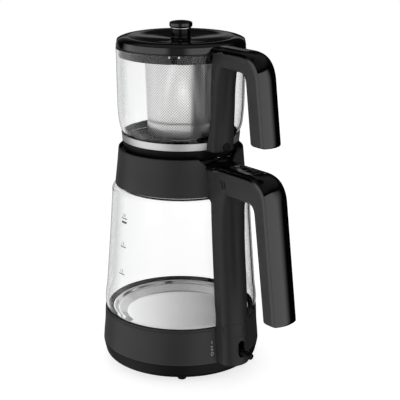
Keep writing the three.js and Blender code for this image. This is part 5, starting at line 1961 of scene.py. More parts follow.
@dataclass(frozen=True)
class Column:
    """Column that carries a handle on its vessel: flat sides, an oval front that flares to the arm."""

    low: float
    high: float
    edge_low: float
    edge_high: float
    back_half: float
    front_half: float
    front: float
    lean: float
    flare: float
    arm_half: float
    squareness: float = 3.5
    sink: float = 22.0
    end_round: float = 3.0
    at_shares: tuple = (0, 0.4, 0.72, 0.83, 0.88, 0.92, 0.95, 1)
    flare_shares: tuple = (0, 0, 0.02, 0.12, 0.3, 0.6, 1, 1)

    def edge(self, z: Array) -> Array:
        """X where the sides end and the front begins."""
        share = (np.asarray(z) - self.low) / (self.high - self.low)
        return self.edge_low + (self.edge_high - self.edge_low) * share

    def reach(self, z: Array) -> Array:
        """Depth of the oval front."""
        return self.front + self.lean * (z - self.low) + self.flare * self.flared(z)

    def flared(self, z: Array) -> Array:
        """Share of the flare at a height."""
        share = (np.asarray(z) - self.low) / (self.high - self.low)
        return hermite(self.at_shares, self.flare_shares, share)

    def front_at(self, y: Array, z: Array) -> Array:
        """X of the front at a distance to the side and a height, below the flare."""
        return self.edge(z) + self.reach(z) * np.sqrt(np.maximum(1 - (y / self.front_half) ** 2, 0.0))

    def surface(self, inset: float = 0.0, bottom: float = 0.0) -> Surface:
        """Column as a loft of its sections, rounded at its foot.

        Args:
            inset: Distance that every side is drawn in, for a hollow.
            bottom: Distance that the foot is drawn up.

        Returns:
            The closed surface.
        """
        radius = self.end_round if inset == 0 else 0.0
        turn = np.linspace(0.0, math.pi / 2, 7)[:-1]
        foot = self.low + bottom + radius * (1 - np.cos(turn)) if radius else np.zeros(0)
        tuck_foot = radius * (1 - np.sin(turn)) if radius else np.zeros(0)
        over = 2 * OVERRUN if inset else 0.0
        body = np.linspace(self.low + bottom + radius, self.high + over, 60)
        z = np.concatenate([foot, body])[:, None]
        tuck = np.concatenate([tuck_foot, np.zeros(len(body))])[:, None]
        t = np.linspace(-math.pi / 2, math.pi / 2, 41)[None, :]
        edge = self.edge(z)
        reach = self.reach(z) - inset - tuck
        flared = self.flared(z)
        front_half = self.front_half + (self.arm_half - self.front_half) * flared - inset - tuck
        back_half = self.back_half - inset - tuck
        power = 2.0 / (2.0 + self.squareness * flared)
        forward, aside = np.cos(t) ** power, np.sign(t) * np.abs(np.sin(t)) ** power
        x = np.hstack([edge - self.sink, edge + reach * forward, edge - self.sink])
        y = np.hstack([-back_half, front_half * aside, back_half])
        return loft(np.stack([x, y, np.broadcast_to(z, x.shape)], axis=-1))


def slab(outline: Array, front: Callable[[Array, Array], Array], low: float, high: float) -> Surface:
    """Plate bent to a front surface: loops drawn in to the middle on both faces.

    Args:
        outline: Loop of (y, z).
        front: Function that gives the surface's x at y and z.
        low: Depth of the back face from that surface, negative inwards.
        high: Depth of the front face.

    Returns:
        The closed surface.
    """
    middle = outline.mean(axis=0)
    outwards = (0.02, 0.3, 0.6, 0.85, 1.0)
    rings = []
    for depth, shares in ((low, outwards), (high, outwards[::-1])):
        for share in shares:
            y, z = (middle + (outline - middle) * share).T
            rings.append(np.column_stack([front(y, z) + depth, y, z]))
    return loft(np.stack(rings))


BUTTON_LENGTHS = {"brew_button": 13.0, "keep_warm_button": 15.0}


@dataclass
class KettleHandle(SubAssembly):
    """Kettle's column and handle, with the badge plate, the vents and the indicator light."""

    body: str = "kettle"
    arm_drop: float = 7.0
    side_depth: float = 8.6
    top_depth: float = 12.0
    back_half: float = 17.6
    badge_half: float = 16.0
    badge_height: float = 13.6
    badge_corner: float = 3.5
    badge_thickness: float = 0.8
    badge_rise: float = 37.8
    slot_half: float = 4.4
    slot_height: float = 18.0
    slot_rise: float = 8.2
    vent: tuple = (2.0, 7.8, -3.8)
    vent_inset: float = 20.3
    vent_drop: float = 14.6
    vent_pitch: float = 4.4
    vent_depth: float = 3.0
    slot_reach: tuple = (4.0, 20.0)
    opening_reach: float = 6.0

    def __post_init__(self) -> None:
        """Work out the handle's line and the column from the CAD nodes' boxes."""
        outer, inner = span("kettle_handle_outer"), span("kettle_handle_inner")
        arm = LAYOUT.collar_top - self.arm_drop
        self.handle = Handle(
            start_x=KETTLE.collar_top_radius - 2.0, corner_x=KETTLE.collar_top_radius + 79.3, arm_z=arm,
            arm_depth=25.4, lean=0.1454, grip_top=13.8, grip_end=16.8, half=15.5, end_z=outer[0, 2],
            crown=2.6, foot_half=18.6, foot_length=15.0,
        )
        low = inner[0, 2]
        first = float(chord(LAYOUT.base_radius, self.back_half)) + self.side_depth
        last = float(chord(KETTLE.collar_top_radius, self.back_half)) + self.top_depth
        rise = (last - first) / (LAYOUT.collar_top - LAYOUT.kettle_low)
        high = self.handle.column_top
        self.column = Column(
            low=low, high=high, edge_low=first + rise * (low - LAYOUT.kettle_low),
            edge_high=first + rise * (high - LAYOUT.kettle_low), back_half=self.back_half, front_half=16.6,
            front=12.4, lean=0.0, flare=13.0, arm_half=self.handle.column_half,
        )

    def build(self) -> None:
        """Make both halves, the badge plate and the light."""
        self.put(self.inner(), MATTE_GREY, "matte_grey", "kettle_handle_inner")
        self.put(self.outer(), GLOSS_BLACK, "gloss_black", "kettle_handle_outer")
        self.put(self.badge(), MATTE_GREY, "matte_grey", "badge_plate")
        lamp = bar(Axis.Z, *pin("indicator_light", Axis.Z), 0.3).piece("light")
        self.put(lamp, LIGHT_PIPE, "light_pipe", "indicator_light")

    def inner(self) -> Piece:
        """Column and inner half in one skin, hollow, with its slot, vents and badge recess.

        Returns:
            The finished piece.
        """
        piece = self.column.surface().piece("handle_shell")
        combined(piece, [self.handle.inner_half()], Join.ADD)
        wall = self.handle.wall
        cuts = [KETTLE.envelope(GAP), self.column.surface(wall, wall), self.handle.hollow(1)]
        return combined(piece, cuts + [self.slot(), self.recess(), *self.vents()], Join.CUT)

    def outline(self, grow: float) -> Array:
        """Outline (y, z) of the badge plate, grown all round.

        Args:
            grow: Distance that it is grown by.

        Returns:
            Rows of (y, z).
        """
        long, tall = self.badge_half + grow, self.badge_height / 2 + grow
        flat = rounded_rectangle(long, tall, self.badge_corner + grow)
        return close_points(flat) + [0.0, LAYOUT.kettle_low + self.badge_rise]

    def badge(self) -> Piece:
        """Bare plate that lies flush in the column's front."""
        plate = slab(self.outline(0.0), self.column.front_at, -self.badge_thickness, 0.0)
        return plate.piece("plate_on_column")

    def recess(self) -> Surface:
        """Cutter of the plate's recess."""
        return slab(self.outline(GAP), self.column.front_at, -self.badge_thickness - GAP, 3 * OVERRUN)

    def slot(self) -> Surface:
        """Cutter of the lever's slot, run through the column's front.

        Returns:
            The closed surface.
        """
        low = LAYOUT.kettle_low + self.slot_rise
        outline = rounded_rectangle(self.slot_half, self.slot_height / 2, self.slot_half, 10)
        outline = outline + [0.0, low + self.slot_height / 2]
        start = float(self.column.edge(low))
        back, front = self.slot_reach
        return stack_of([(outline, start - back), (outline, start + front)], (1, 2, 0))

    def vents(self) -> list[Surface]:
        """Cutters of the slanted pair of vents in each side of the arm.

        Returns:
            The four closed surfaces.
        """
        width, height, lean = self.vent
        half = self.handle.half
        cutters = []
        for side in (-1, 1):
            for i in range(2):
                x = KETTLE.collar_top_radius + self.vent_inset + i * self.vent_pitch
                z = self.handle.arm_z - self.vent_drop
                flat = rounded_rectangle(width / 2, height / 2, width / 2, 4)
                flat = flat + np.column_stack([flat[:, 1] * lean / height, 0 * flat[:, 1]]) + [x, z]
                ends = sorted((side * (half - self.vent_depth), side * (half + OVERRUN)))
                cutters.append(stack_of([(flat, ends[0]), (flat, ends[1])], (0, 2, 1)))
        return cutters

    def outer(self) -> Piece:
        """Glossy strap with its openings for the buttons and the light.

        Returns:
            The finished piece.
        """
        piece = self.handle.outer_half().piece("handle_strap")
        low, high = self.handle.arm_z - self.opening_reach, self.handle.arm_z + self.opening_reach
        cuts = [KETTLE.envelope(GAP)]
        for node, length in BUTTON_LENGTHS.items():
            outline = rounded_rectangle(length / 2 + GAP, PushButton.half + GAP, PushButton.corner + GAP)
            outline = outline + [span(node)[:, 0].mean(), 0.0]
            cuts.append(stack_of([(outline, low), (outline, high)]))
        radius, _, _, place = pin("indicator_light", Axis.Z)
        cuts.append(bar(Axis.Z, radius + GAP, low, high, place))
        return combined(piece, cuts, Join.CUT)


@dataclass
class PushButton(SubAssembly):
    """Button in the kettle's strap: a cap that follows the crown, a flange and a stem."""

    body: str
    node: str
    length: float
    handle: Handle
    half: float = 7.0
    corner: float = 2.0
    rise: float = 0.5
    flange: float = 0.6
    flange_thickness: float = 1.2
    clear: float = 0.6
    stem_half: float = 2.0
    edge: float = 0.6
    least: float = 0.3

    def build(self) -> None:
        """Make the button in one piece."""
        box = span(self.node)
        x = box[:, 0].mean()
        under = self.handle.arm_z - self.handle.lip - self.clear
        stem, flange = self.loop(x, -self.length / 2 + self.stem_half), self.loop(x, self.flange)
        step = under - self.flange_thickness
        loops = [(stem, box[0, 2]), (stem, step), (flange, step), (flange, under)]
        loops.append((self.loop(x, 0.0), under + 0.01))
        t = np.linspace(0.0, math.pi / 2, 5)
        for inset, drop in zip(self.edge * (1 - np.cos(t)), self.edge * (1 - np.sin(t))):
            loops.append(self.top_loop(x, -inset, -drop))
        for share in (0.8, 0.55, 0.3, 0.05):
            loops.append(self.top_loop(x, -(1 - share) * self.half, 0.0))
        piece = stack_of(loops).piece(self.node + "_cap")
        self.put(piece, GLOSS_BLACK, "gloss_black", self.node)

    def loop(self, x: float, grow: float) -> Array:
        """Outline of the cap, grown all round."""
        half_long, half_wide = (max(half + grow, self.least) for half in (self.length / 2, self.half))
        return rounded_rectangle(half_long, half_wide, max(self.corner + grow, 0.25)) + [x, 0.0]

    def top_loop(self, x: float, grow: float, drop: float) -> tuple[Array, Array]:
        """Outline on the cap's top with the height of each of its points."""
        flat = self.loop(x, grow)
        return flat, self.handle.top_at(flat[:, 0], flat[:, 1]) + self.rise + drop


@dataclass
class SwitchLever(SubAssembly):
    """Lever that turns the kettle on: a peg through the slot, a bar and a hub."""

    body: str = "switch_lever"
    peg_radius: float = 3.4
    pivot_x: float = 65.45
    hub_radius: float = 4.0
    hub_half: float = 2.8
    bar_half: float = 2.0
    bar_height: float = 4.6
    pin_hole: float = 1.8
    peg_length: float = 22.6

    def build(self) -> None:
        """Make the lever in one piece."""
        box = span("switch_lever")
        tip = box[1, 0]
        z = box[1, 2] - self.hub_radius
        start = tip - self.peg_length
        profile = rounded(tube(0, self.peg_radius, start, tip, 0, 0.4, 1.3, 0), steps=8)
        piece = turned(profile, TINY_STEPS, Axis.X, (0, 0, z)).piece("lever")
        low = (self.pivot_x, -self.bar_half, z - self.bar_height / 2)
        high = (start + self.peg_radius, self.bar_half, z + self.bar_height / 2)
        hub = bar(Axis.Y, self.hub_radius, -self.hub_half, self.hub_half, (self.pivot_x, z), 0.4)
        combined(piece, [box_surface(low, high, 0.4), hub], Join.ADD)
        reach = self.hub_half + OVERRUN
        hole = bar(Axis.Y, self.pin_hole, -reach, reach, (self.pivot_x, z))
        self.put(combined(piece, [hole], Join.CUT), SATIN_BLACK, "satin_black", "switch_lever")


@dataclass
class Teapot(SubAssembly):
    """Glass teapot with its steel band and handle."""

    body: str = "teapot"
    wall: float = 2.2
    lip_reach: float = 4.5
    lip_height: float = 16.0
    lip_half_angle: float = 16.0
    band_thickness: float = 0.8
    liner: float = 0.12
    tab_reach: float = 6.4
    tab_half: float = 4.5
    tab_margin: float = 1.2
    column_foot: float = 1.2
    screw_radius: float = 1.6
    arm_rise: float = 6.6
    back_half: float = 15.0
    edge_out: float = 2.2
    inner_clear: tuple = (2.0, 1.0)
    floor_reach: float = 0.6
    liner_in: float = 0.16
    ring_gap: float = 0.36
    ring_drop: float = 0.25
    ring_low: float = 1.5
    ring_step: float = 2.0
    ring_step_rise: float = 0.2
    ring_walls: tuple = (0.7, 0.9, 0.4)
    side_gap: float = 0.7
    space_over: float = 8.0
    space_below: float = 2.0
    passage_start: float = 20.0
    plug_seat: float = 1.2
    plug_reach: float = 14.0

    def __post_init__(self) -> None:
        """Work out the handle's line and the column."""
        rim = TEAPOT.rim_radius
        arm = LAYOUT.jug_top + self.arm_rise
        self.handle = Handle(
            start_x=rim + GAP - self.wall, corner_x=rim + 61.6, arm_z=arm, arm_depth=17.9, lean=0.142,
            grip_top=16.2, grip_end=19.0, half=12.5, end_z=LAYOUT.jug_low + 28.1, crown=2.0,
            foot_half=14.6, foot_length=13.0,
        )
        edge = float(chord(rim, self.back_half)) + self.edge_out
        self.column = Column(
            low=TEAPOT.band_low - self.column_foot, high=self.handle.column_top, edge_low=edge,
            edge_high=edge, back_half=self.back_half, front_half=13.6, front=6.4, lean=0.07, flare=9.0,
            arm_half=self.handle.column_half, end_round=1.5,
        )

    def build(self) -> None:
        """Make the glass, the band with its liner, both halves of the handle and the plug."""
        self.put(self.glass(), CLEAR_GLASS, "clear_glass", "teapot_glass")
        self.put(self.band(), BAND_STEEL, "steel", "steel_band")
        self.put(self.band_liner(), RUBBER, "silicone")
        self.put(self.foot_ring(), SATIN_BLACK, "silicone")
        self.put(self.inner(), MATTE_GREY, "matte_grey", "teapot_handle_inner")
        self.put(self.outer(), GLOSS_BLACK, "gloss_black", "teapot_handle_outer")
        plug = bar(Axis.X, *pin("screw_plug", Axis.X), 0.5).piece("plug")
        self.put(plug, SATIN_BLACK, "satin_black", "screw_plug")
        kept("teapot_handle_screw", PLAIN_STEEL)

    def glass(self) -> Piece:
        """Jug of even wall with a pouring lip at the front.

        Returns:
            The finished piece.
        """
        side = TEAPOT.side()
        low, top = LAYOUT.jug_low, LAYOUT.jug_top
        floor, rim = low + self.wall, TEAPOT.rim_radius
        above, below = self.inner_clear
        inner = beside(side, -self.wall)[::-1]
        inner = inner[(inner[:, 1] > floor + above) & (inner[:, 1] < top - below)]
        corners = [(0, low, 0), (TEAPOT.foot_radius, low, 1.2)] + plain(short_of(side, 0.0, 1.2))
        corners += [(rim, top, 0.9), (rim - self.wall, top, 0.9)] + plain(inner)
        corners += [(TEAPOT.foot_radius - self.wall + self.floor_reach, floor, 2.2), (0, floor, 0)]
        jug = turned(rounded(corners, steps=6))
        lip = top - self.lip_height
        return jug.moved(lambda p: pushed_lip(p, lip, top, self.lip_reach, self.lip_half_angle)).piece("jug")

    def band_line(self, out: float) -> list[tuple[float, float]]:
        """Lower and upper end of the band's face, a distance outside its inner side.

        Args:
            out: Distance outside the inner side.

        Returns:
            Both ends as (radius, height).
        """
        inside = TEAPOT.band_radius + GAP
        low, high = TEAPOT.band_low, TEAPOT.band_low + TEAPOT.band_height
        return [(inside - TEAPOT.band_taper + out, low), (inside + out, high)]

    def tab_end(self) -> float:
        """Distance of the tab's outer end from the axis."""
        return TEAPOT.band_radius + GAP + self.band_thickness + self.tab_reach

    def band(self) -> Piece:
        """Steel band with the tab that the handle is screwed to.

        Returns:
            The finished piece.
        """
        t = self.band_thickness
        (a, low), (b, high) = self.band_line(0.0)
        corners = [(a, low, 0.25), (a + t, low, 0.3), (b + t, high, 0.3), (b, high, 0.25)]
        piece = hoop("band", corners)
        start = TEAPOT.band_radius - TEAPOT.band_taper + t
        end = self.tab_end()
        foot, head = low + self.tab_margin, high - self.tab_margin
        tab = box_surface((start, -self.tab_half, foot), (end, self.tab_half, head), 0.4)
        combined(piece, [tab], Join.ADD)
        middle = (0, (foot + head) / 2)
        hole = bar(Axis.X, self.screw_radius + GAP, end - self.tab_reach, end + OVERRUN, middle)
        return combined(piece, [hole], Join.CUT)

    def band_liner(self) -> Piece:
        """Thin dark sleeve between the band and the glass, seen through the glass from inside.

        Returns:
            The finished piece.
        """
        (a, foot), (b, head) = self.band_line(-self.liner_in)
        low, high, t = foot + GAP, head - GAP, self.liner
        corners = [(a, low, 0), (a + t, low, 0), (b + t, high, 0), (b, high, 0)]
        return hoop("band_liner", corners)

    def foot_ring(self) -> Piece:
        """Dark ring round the glass's foot, under the band, with a step in its side.

        Returns:
            The finished piece.
        """
        high = TEAPOT.band_low - self.ring_drop
        low, step = LAYOUT.collar_top - self.ring_low, high - self.ring_step
        side = TEAPOT.side()
        head, waist, foot = (np.interp(z, side[:, 1], side[:, 0]) + self.ring_gap for z in (high, step, low))
        at_head, at_step, below = self.ring_walls
        corners = [
            (foot, low, 0.1), (foot + below, low, 0.1), (waist + below, step, 0.1),
            (waist + at_step, step + self.ring_step_rise, 0.1), (head + at_head, high, 0.1),
            (head, high, 0.1), (waist, step, 0.0),
        ]
        return hoop("foot_ring", corners)

    def clear_space(self) -> Surface:
        """Space that the handle keeps clear: the glass and the band, a gap larger, up past the arm.

        Returns:
            The closed surface.
        """
        side = TEAPOT.side() + [self.side_gap, 0.0]
        low, high = TEAPOT.band_low - GAP, TEAPOT.band_low + TEAPOT.band_height + GAP
        band = TEAPOT.band_radius + self.band_thickness + 2 * GAP
        below, above = side[side[:, 1] < low], side[side[:, 1] > high]
        foot, top = LAYOUT.jug_low - self.space_below, self.handle.arm_z + self.space_over
        rim = TEAPOT.rim_radius + 2 * GAP
        rows = [(0, foot), (below[0, 0], foot), *below, (band, low), (band, high), *above[:-1],
                (rim, LAYOUT.jug_top), (rim, top), (0, top)]
        return turned(np.array(rows, float))

    def inner(self) -> Piece:
        """Column and inner half in one skin, with the passage of the tab, screw and plug.

        Returns:
            The finished piece.
        """
        piece = self.column.surface().piece("teapot_handle_shell")
        combined(piece, [self.handle.inner_half()], Join.ADD)
        end, half = self.tab_end(), self.tab_half + GAP
        low = TEAPOT.band_low + self.tab_margin
        high = TEAPOT.band_low + TEAPOT.band_height - self.tab_margin
        middle = (0, (low + high) / 2)
        radius = pin("screw_plug", Axis.X)[0] + GAP
        cuts = [
            self.clear_space(), self.handle.hollow(4),
            box_surface((self.passage_start, -half, low - GAP), (end + GAP, half, high + GAP), 0.3),
            bar(Axis.X, self.screw_radius + GAP, end - OVERRUN, end + self.tab_reach, middle),
            bar(Axis.X, radius, end + GAP + self.plug_seat, end + self.plug_reach, middle),
        ]
        return combined(piece, cuts, Join.CUT)

    def outer(self) -> Piece:
        """Glossy strap of the handle."""
        return combined(self.handle.outer_half().piece("teapot_strap"), [self.clear_space()], Join.CUT)


@dataclass
class Infuser(SubAssembly):
    """Perforated steel basket in a black ring on the teapot's rim."""

    body: str = "infuser"
    rim_gap: float = 0.3
    skirt_radius: float = 63.5
    skirt_wall: float = 2.0
    flange: float = 0.9
    web: float = 2.2
    web_drop: float = 4.2
    basket_top: float = 37.2
    basket_foot: float = 34.2
    basket_wall: float = 0.8
    foot_clear: float = 2.4
    waist: float = 0.5
    waist_height: float = 14.5
    waist_spread: float = 2.6
    block_fillet: float = 0.15
    split_angles: tuple = (-58.6, -28.7, 121.4, 151.3)
    split_half: float = 0.35
    split_depth: float = 1.4
    split_end: float = 0.4
    catch_angles: tuple = (-44.0, 136.0)
    recess_depth: float = 1.7
    recess_stem: tuple = (3.2, 6.6)
    recess_head: tuple = (5.9, 5.6, 8.4)
    catch_depths: tuple = (-1.65, -0.8)
    catch_stem: tuple = (3.0, 0.2, 7.0)
    catch_head: tuple = (5.7, 5.8, 8.2)
    pin_depths: tuple = (-1.0, -0.4)
    pin_size: tuple = (0.8, 6.2, 7.8)
    pin_aside: float = 4.7

    def build(self) -> None:
        """Make the ring, the basket and the catches."""
        self.put(self.ring(), HOOP_BLACK, "satin_black", "infuser_ring")
        self.put(self.basket(), BASKET_STEEL, "steel", "infuser_basket")
        for number, angle in enumerate(self.catch_angles, 1):
            self.catch(number, angle)

    def ring(self) -> Piece:
        """Ring with its flange, skirt and web; fine joints and the catches' recesses are cut in its skirt.

        Returns:
            The finished piece.
        """
        top, low = LAYOUT.infuser_top, LAYOUT.infuser_low
        rim = TEAPOT.rim_radius - self.rim_gap
        inner = self.skirt_radius - self.skirt_wall
        web = top - self.web_drop
        hole = self.basket_top + 2 * GAP
        corners = [
            (inner, low, 0.6), (self.skirt_radius, low, 0.8), (self.skirt_radius, top - self.flange, 0.2),
            (rim, top - self.flange, 0.2), (rim, top, 0.3), (inner, top, 0.3), (inner, web, 0.5),
            (hole, web, 0.4), (hole, web - self.web, 0.4), (inner, web - self.web, 0.5),
        ]
        piece = hoop("infuser_hoop", corners)
        high = top - self.flange - self.split_end
        under = low - OVERRUN
        joint = (-self.split_depth, OVERRUN)
        cuts = [self.block(angle, joint, self.split_half, under, high) for angle in self.split_angles]
        half, rise = self.recess_stem
        wide, head_low, head_high = self.recess_head
        recess = (-self.recess_depth, OVERRUN)
        for angle in self.catch_angles:
            cuts.append(self.block(angle, recess, half, under, low + rise))
            cuts.append(self.block(angle, recess, wide, low + head_low, low + head_high))
        return combined(piece, cuts, Join.CUT)

    def catch(self, number: int, angle: float) -> None:
        """Dark catch in the skirt's recess, with a small pin at each side.

        Args:
            number: The catch's number.
            angle: Angle round the axis in degrees.
        """
        piece = self.fitting(angle, self.catch_depths, self.catch_stem).piece(f"catch_{number}")
        combined(piece, [self.fitting(angle, self.catch_depths, self.catch_head)], Join.ADD)
        self.put(piece, SATIN_BLACK, None)
        for side in (-1, 1):
            turn = angle + side * math.degrees(self.pin_aside / self.skirt_radius)
            stud = self.fitting(turn, self.pin_depths, self.pin_size)
            self.put(stud.piece(f"catch_pin_{number}_{side + 2}"), PIN_STEEL, None)

    def fitting(self, angle: float, depths: Sequence[float], size: Sequence[float]) -> Surface:
        """Block with a half width and two heights above the skirt's lower edge."""
        half, low, high = size
        return self.block(angle, depths, half, LAYOUT.infuser_low + low, LAYOUT.infuser_low + high)

    def block(self, angle: float, depths: Sequence[float], half: float, low: float, high: float) -> Surface:
        """Upright block at an angle, from one to another distance outside the skirt.

        Args:
            angle: Angle round the axis in degrees.
            depths: Nearest and farthest distance outside the skirt.
            half: Half width.
            low: Lower end.
            high: Upper end.

        Returns:
            The closed surface.
        """
        near, far = (self.skirt_radius + depth for depth in depths)
        block = box_surface((near, -half, low), (far, half, high), self.block_fillet)
        a = math.radians(angle)
        turn = np.array([[math.cos(a), -math.sin(a), 0], [math.sin(a), math.cos(a), 0], [0, 0, 1]])
        return block.moved(lambda p: p @ turn.T)

    def basket(self) -> Piece:
        """Basket: straight sides with a slight waist near the foot, a round foot edge and a lip.

        Returns:
            The finished piece.
        """
        low, high, lip = upright("infuser_basket")
        z = np.linspace(low + self.foot_clear, high - self.basket_wall - 2 * GAP, 60)
        share = (z - low) / (high - low)
        waist = self.waist * np.exp(-(((z - low - self.waist_height) / self.waist_spread) ** 2))
        foot, top, wall = self.basket_foot, self.basket_top, self.basket_wall
        side = np.column_stack([foot + (top - foot) * share - waist, z])
        inner = beside(side, -wall)[::-1]
        corners = [(0, low, 0), (foot, low, 1.6)] + plain(side) + [
            (top, high - wall, 0.3), (lip, high - wall, 0.3), (lip, high, 0.3), (top - wall, high, 0.8),
        ] + plain(inner) + [(foot - wall, low + wall, 1.2), (0, low + wall, 0)]
        return disc("basket", corners)


@dataclass
class TeapotLid(SubAssembly):
    """Shallow domed lid with a locating ring and a knob."""

    body: str = "teapot_lid"
    rim_height: float = 4.9
    dome_rise: float = 4.2
    wall: float = 2.0
    locator_depth: float = 2.0
    locator_wall: float = 1.8
    bore: float = 2.6
    dome_shares: tuple = ((0.985, 0.25), (0.93, 0.7), (0.84, 1), (0.74, 0.97), (0.5, 0.68), (0.17, 0.3))
    stem_radius: float = 9.6
    stem_flare: float = 1.2
    stem_foot: float = 3.3
    screw_depth: float = 6.3
    screw_shank: float = 2.0
    screw_head: float = 1.8
    under_clear: float = 1.0
    cap_crown: float = 1.7
    cap_edge: float = 1.2

    def build(self) -> None:
        """Make the lid, stem, ring, cap and screw."""
        self.put(self.lid(), GLOSS_BLACK, "gloss_black", "teapot_lid")
        self.put(self.stem(), SOFT_BLACK, "gloss_black", "knob_stem")
        self.put(self.ring(), PLAIN_STEEL, "steel", "knob_ring")
        self.put(self.cap(), GLOSS_BLACK, "gloss_black", "knob_cap")
        self.put(self.screw(), PLAIN_STEEL, "steel", "knob_screw")

    def lid(self) -> Piece:
        """Lid: upright rim, a dome that sinks towards its middle, and a ring below.

        Returns:
            The finished piece.
        """
        rim = TEAPOT.rim_radius
        low = upright("teapot_lid")[0] + self.locator_depth
        edge = low + self.rim_height
        dome = through([(rim, edge), *spread(self.dome_shares, 0.0, rim, edge, self.dome_rise)], 64)
        hub = (self.bore, dome[-1, 1])
        out = Infuser.skirt_radius - Infuser.skirt_wall - 2 * GAP
        inn = out - self.locator_wall
        under = beside(dome, -self.wall)[::-1]
        under = under[(under[:, 0] < inn - self.under_clear) & (under[:, 0] > self.bore + self.under_clear)]
        roof, foot, inside = edge - self.wall, low - self.locator_depth, rim - self.wall
        corners = [(self.bore, hub[1] - self.wall, 0)] + plain(under) + [
            (inn, roof, 0.3), (inn, foot, 0.4), (out, foot, 0.4), (out, roof - GAP, 0.3),
            (inside, roof - GAP, 0.3), (inside, low, 0.3), (rim, low, 0.4),
        ] + plain(dome[2:]) + [(hub[0], hub[1], 0)]
        return hoop("lid", corners)

    def stem(self) -> Piece:
        """Stem that widens to its foot in a curve, with a blind hole for the screw.

        Returns:
            The finished piece.
        """
        low, high, _ = upright("knob_stem")
        wide = self.stem_radius + self.stem_flare
        t = np.linspace(0.0, 1.0, 13)
        flare = self.stem_flare * np.sin(t * math.pi / 2)
        foot = np.column_stack([wide - flare, low + self.stem_foot * t**1.3])
        bore, hole = self.screw_shank + GAP, low + self.screw_depth
        corners = [(0, high, 0), (self.stem_radius, high, 0.3)] + plain(foot[::-1])
        corners += [(bore, low, 0.2), (bore, hole, 0), (0, hole, 0)]
        return disc("stem", corners, SMALL_STEPS)

    def ring(self) -> Piece:
        """Steel disc between stem and cap."""
        low, high, radius = upright("knob_ring")
        return disc("knob_disc", tube(0, radius, low, high, 0, 0.35, 0.35, 0), SMALL_STEPS)

    def cap(self) -> Piece:
        """Cap with a soft crown.

        Returns:
            The finished piece.
        """
        low, high, radius = upright("knob_cap")
        side = high - self.cap_crown
        r = np.linspace(radius - self.cap_edge, 0.0, 24)
        crown = np.column_stack([r, side + (high - side) * (1 - (r / radius) ** 2) ** 0.8])
        corners = [(0, low, 0), (radius, low, 1.0), (radius, side - GAP, 1.3)] + plain(crown)
        return turned(rounded(corners, steps=7), SMALL_STEPS).piece("cap")

    def screw(self) -> Piece:
        """Screw that holds the knob from below.

        Returns:
            The finished piece.
        """
        low, high, head = upright("knob_screw")
        neck, shank = low + self.screw_head, self.screw_shank
        corners = [(0, low, 0), (head, low, 0.6), (head, neck, 0.2), (shank, neck, 0), (shank, high, 0.3),
                   (0, high, 0)]
        return disc("lid_screw", corners, TINY_STEPS)


# Printed marks


def ribbon(path: Array, width: float, closed: bool = False) -> Surface:
    """Flat strip along a path in the plane: the path moved half the width to both sides.

    Args:
        path: Points (u, v).
        width: Width of the strip.
        closed: Whether the path closes on itself.

    Returns:
        Surface with u, v and thickness as its x, y and z.
    """
    line = np.vstack([path[-2:-1], path, path[1:2]]) if closed else path
    left, right = beside(line, width / 2), beside(line, -width / 2)
    if closed:
        left, right = left[1:-1], right[1:-1]
    low, high = np.zeros((len(left), 1)), np.full((len(left), 1), INK_DEPTH)
    section = ((left, low), (right, low), (right, high), (left, high))
    rings = np.stack([np.hstack(pair) for pair in section], axis=1)
    return loft(rings[:-1], loop=True) if closed else loft(rings)


def lettered(words: str, size: float, name: str) -> Piece:
    """Flat text as a mesh, centred on the origin.

    Args:
        words: Text.
        size: Height of the letters.
        name: Name of the new piece.

    Returns:
        The finished piece.
    """
    curve = bpy.data.curves.new(name, "FONT")
    curve.body = words
    curve.size = size
    curve.align_x = "CENTER"
    curve.align_y = "CENTER"
    curve.extrude = TEXT_DEPTH
    maker = bpy.data.objects.new(name + "_text", curve)
    bpy.context.scene.collection.objects.link(maker)
    bpy.context.view_layer.update()
    mesh = bpy.data.meshes.new_from_object(maker.evaluated_get(bpy.context.evaluated_depsgraph_get()))
    bpy.data.objects.remove(maker)
    bpy.data.curves.remove(curve)
    made = bpy.data.objects.new(name, mesh)
    bpy.context.scene.collection.objects.link(made)
    return made


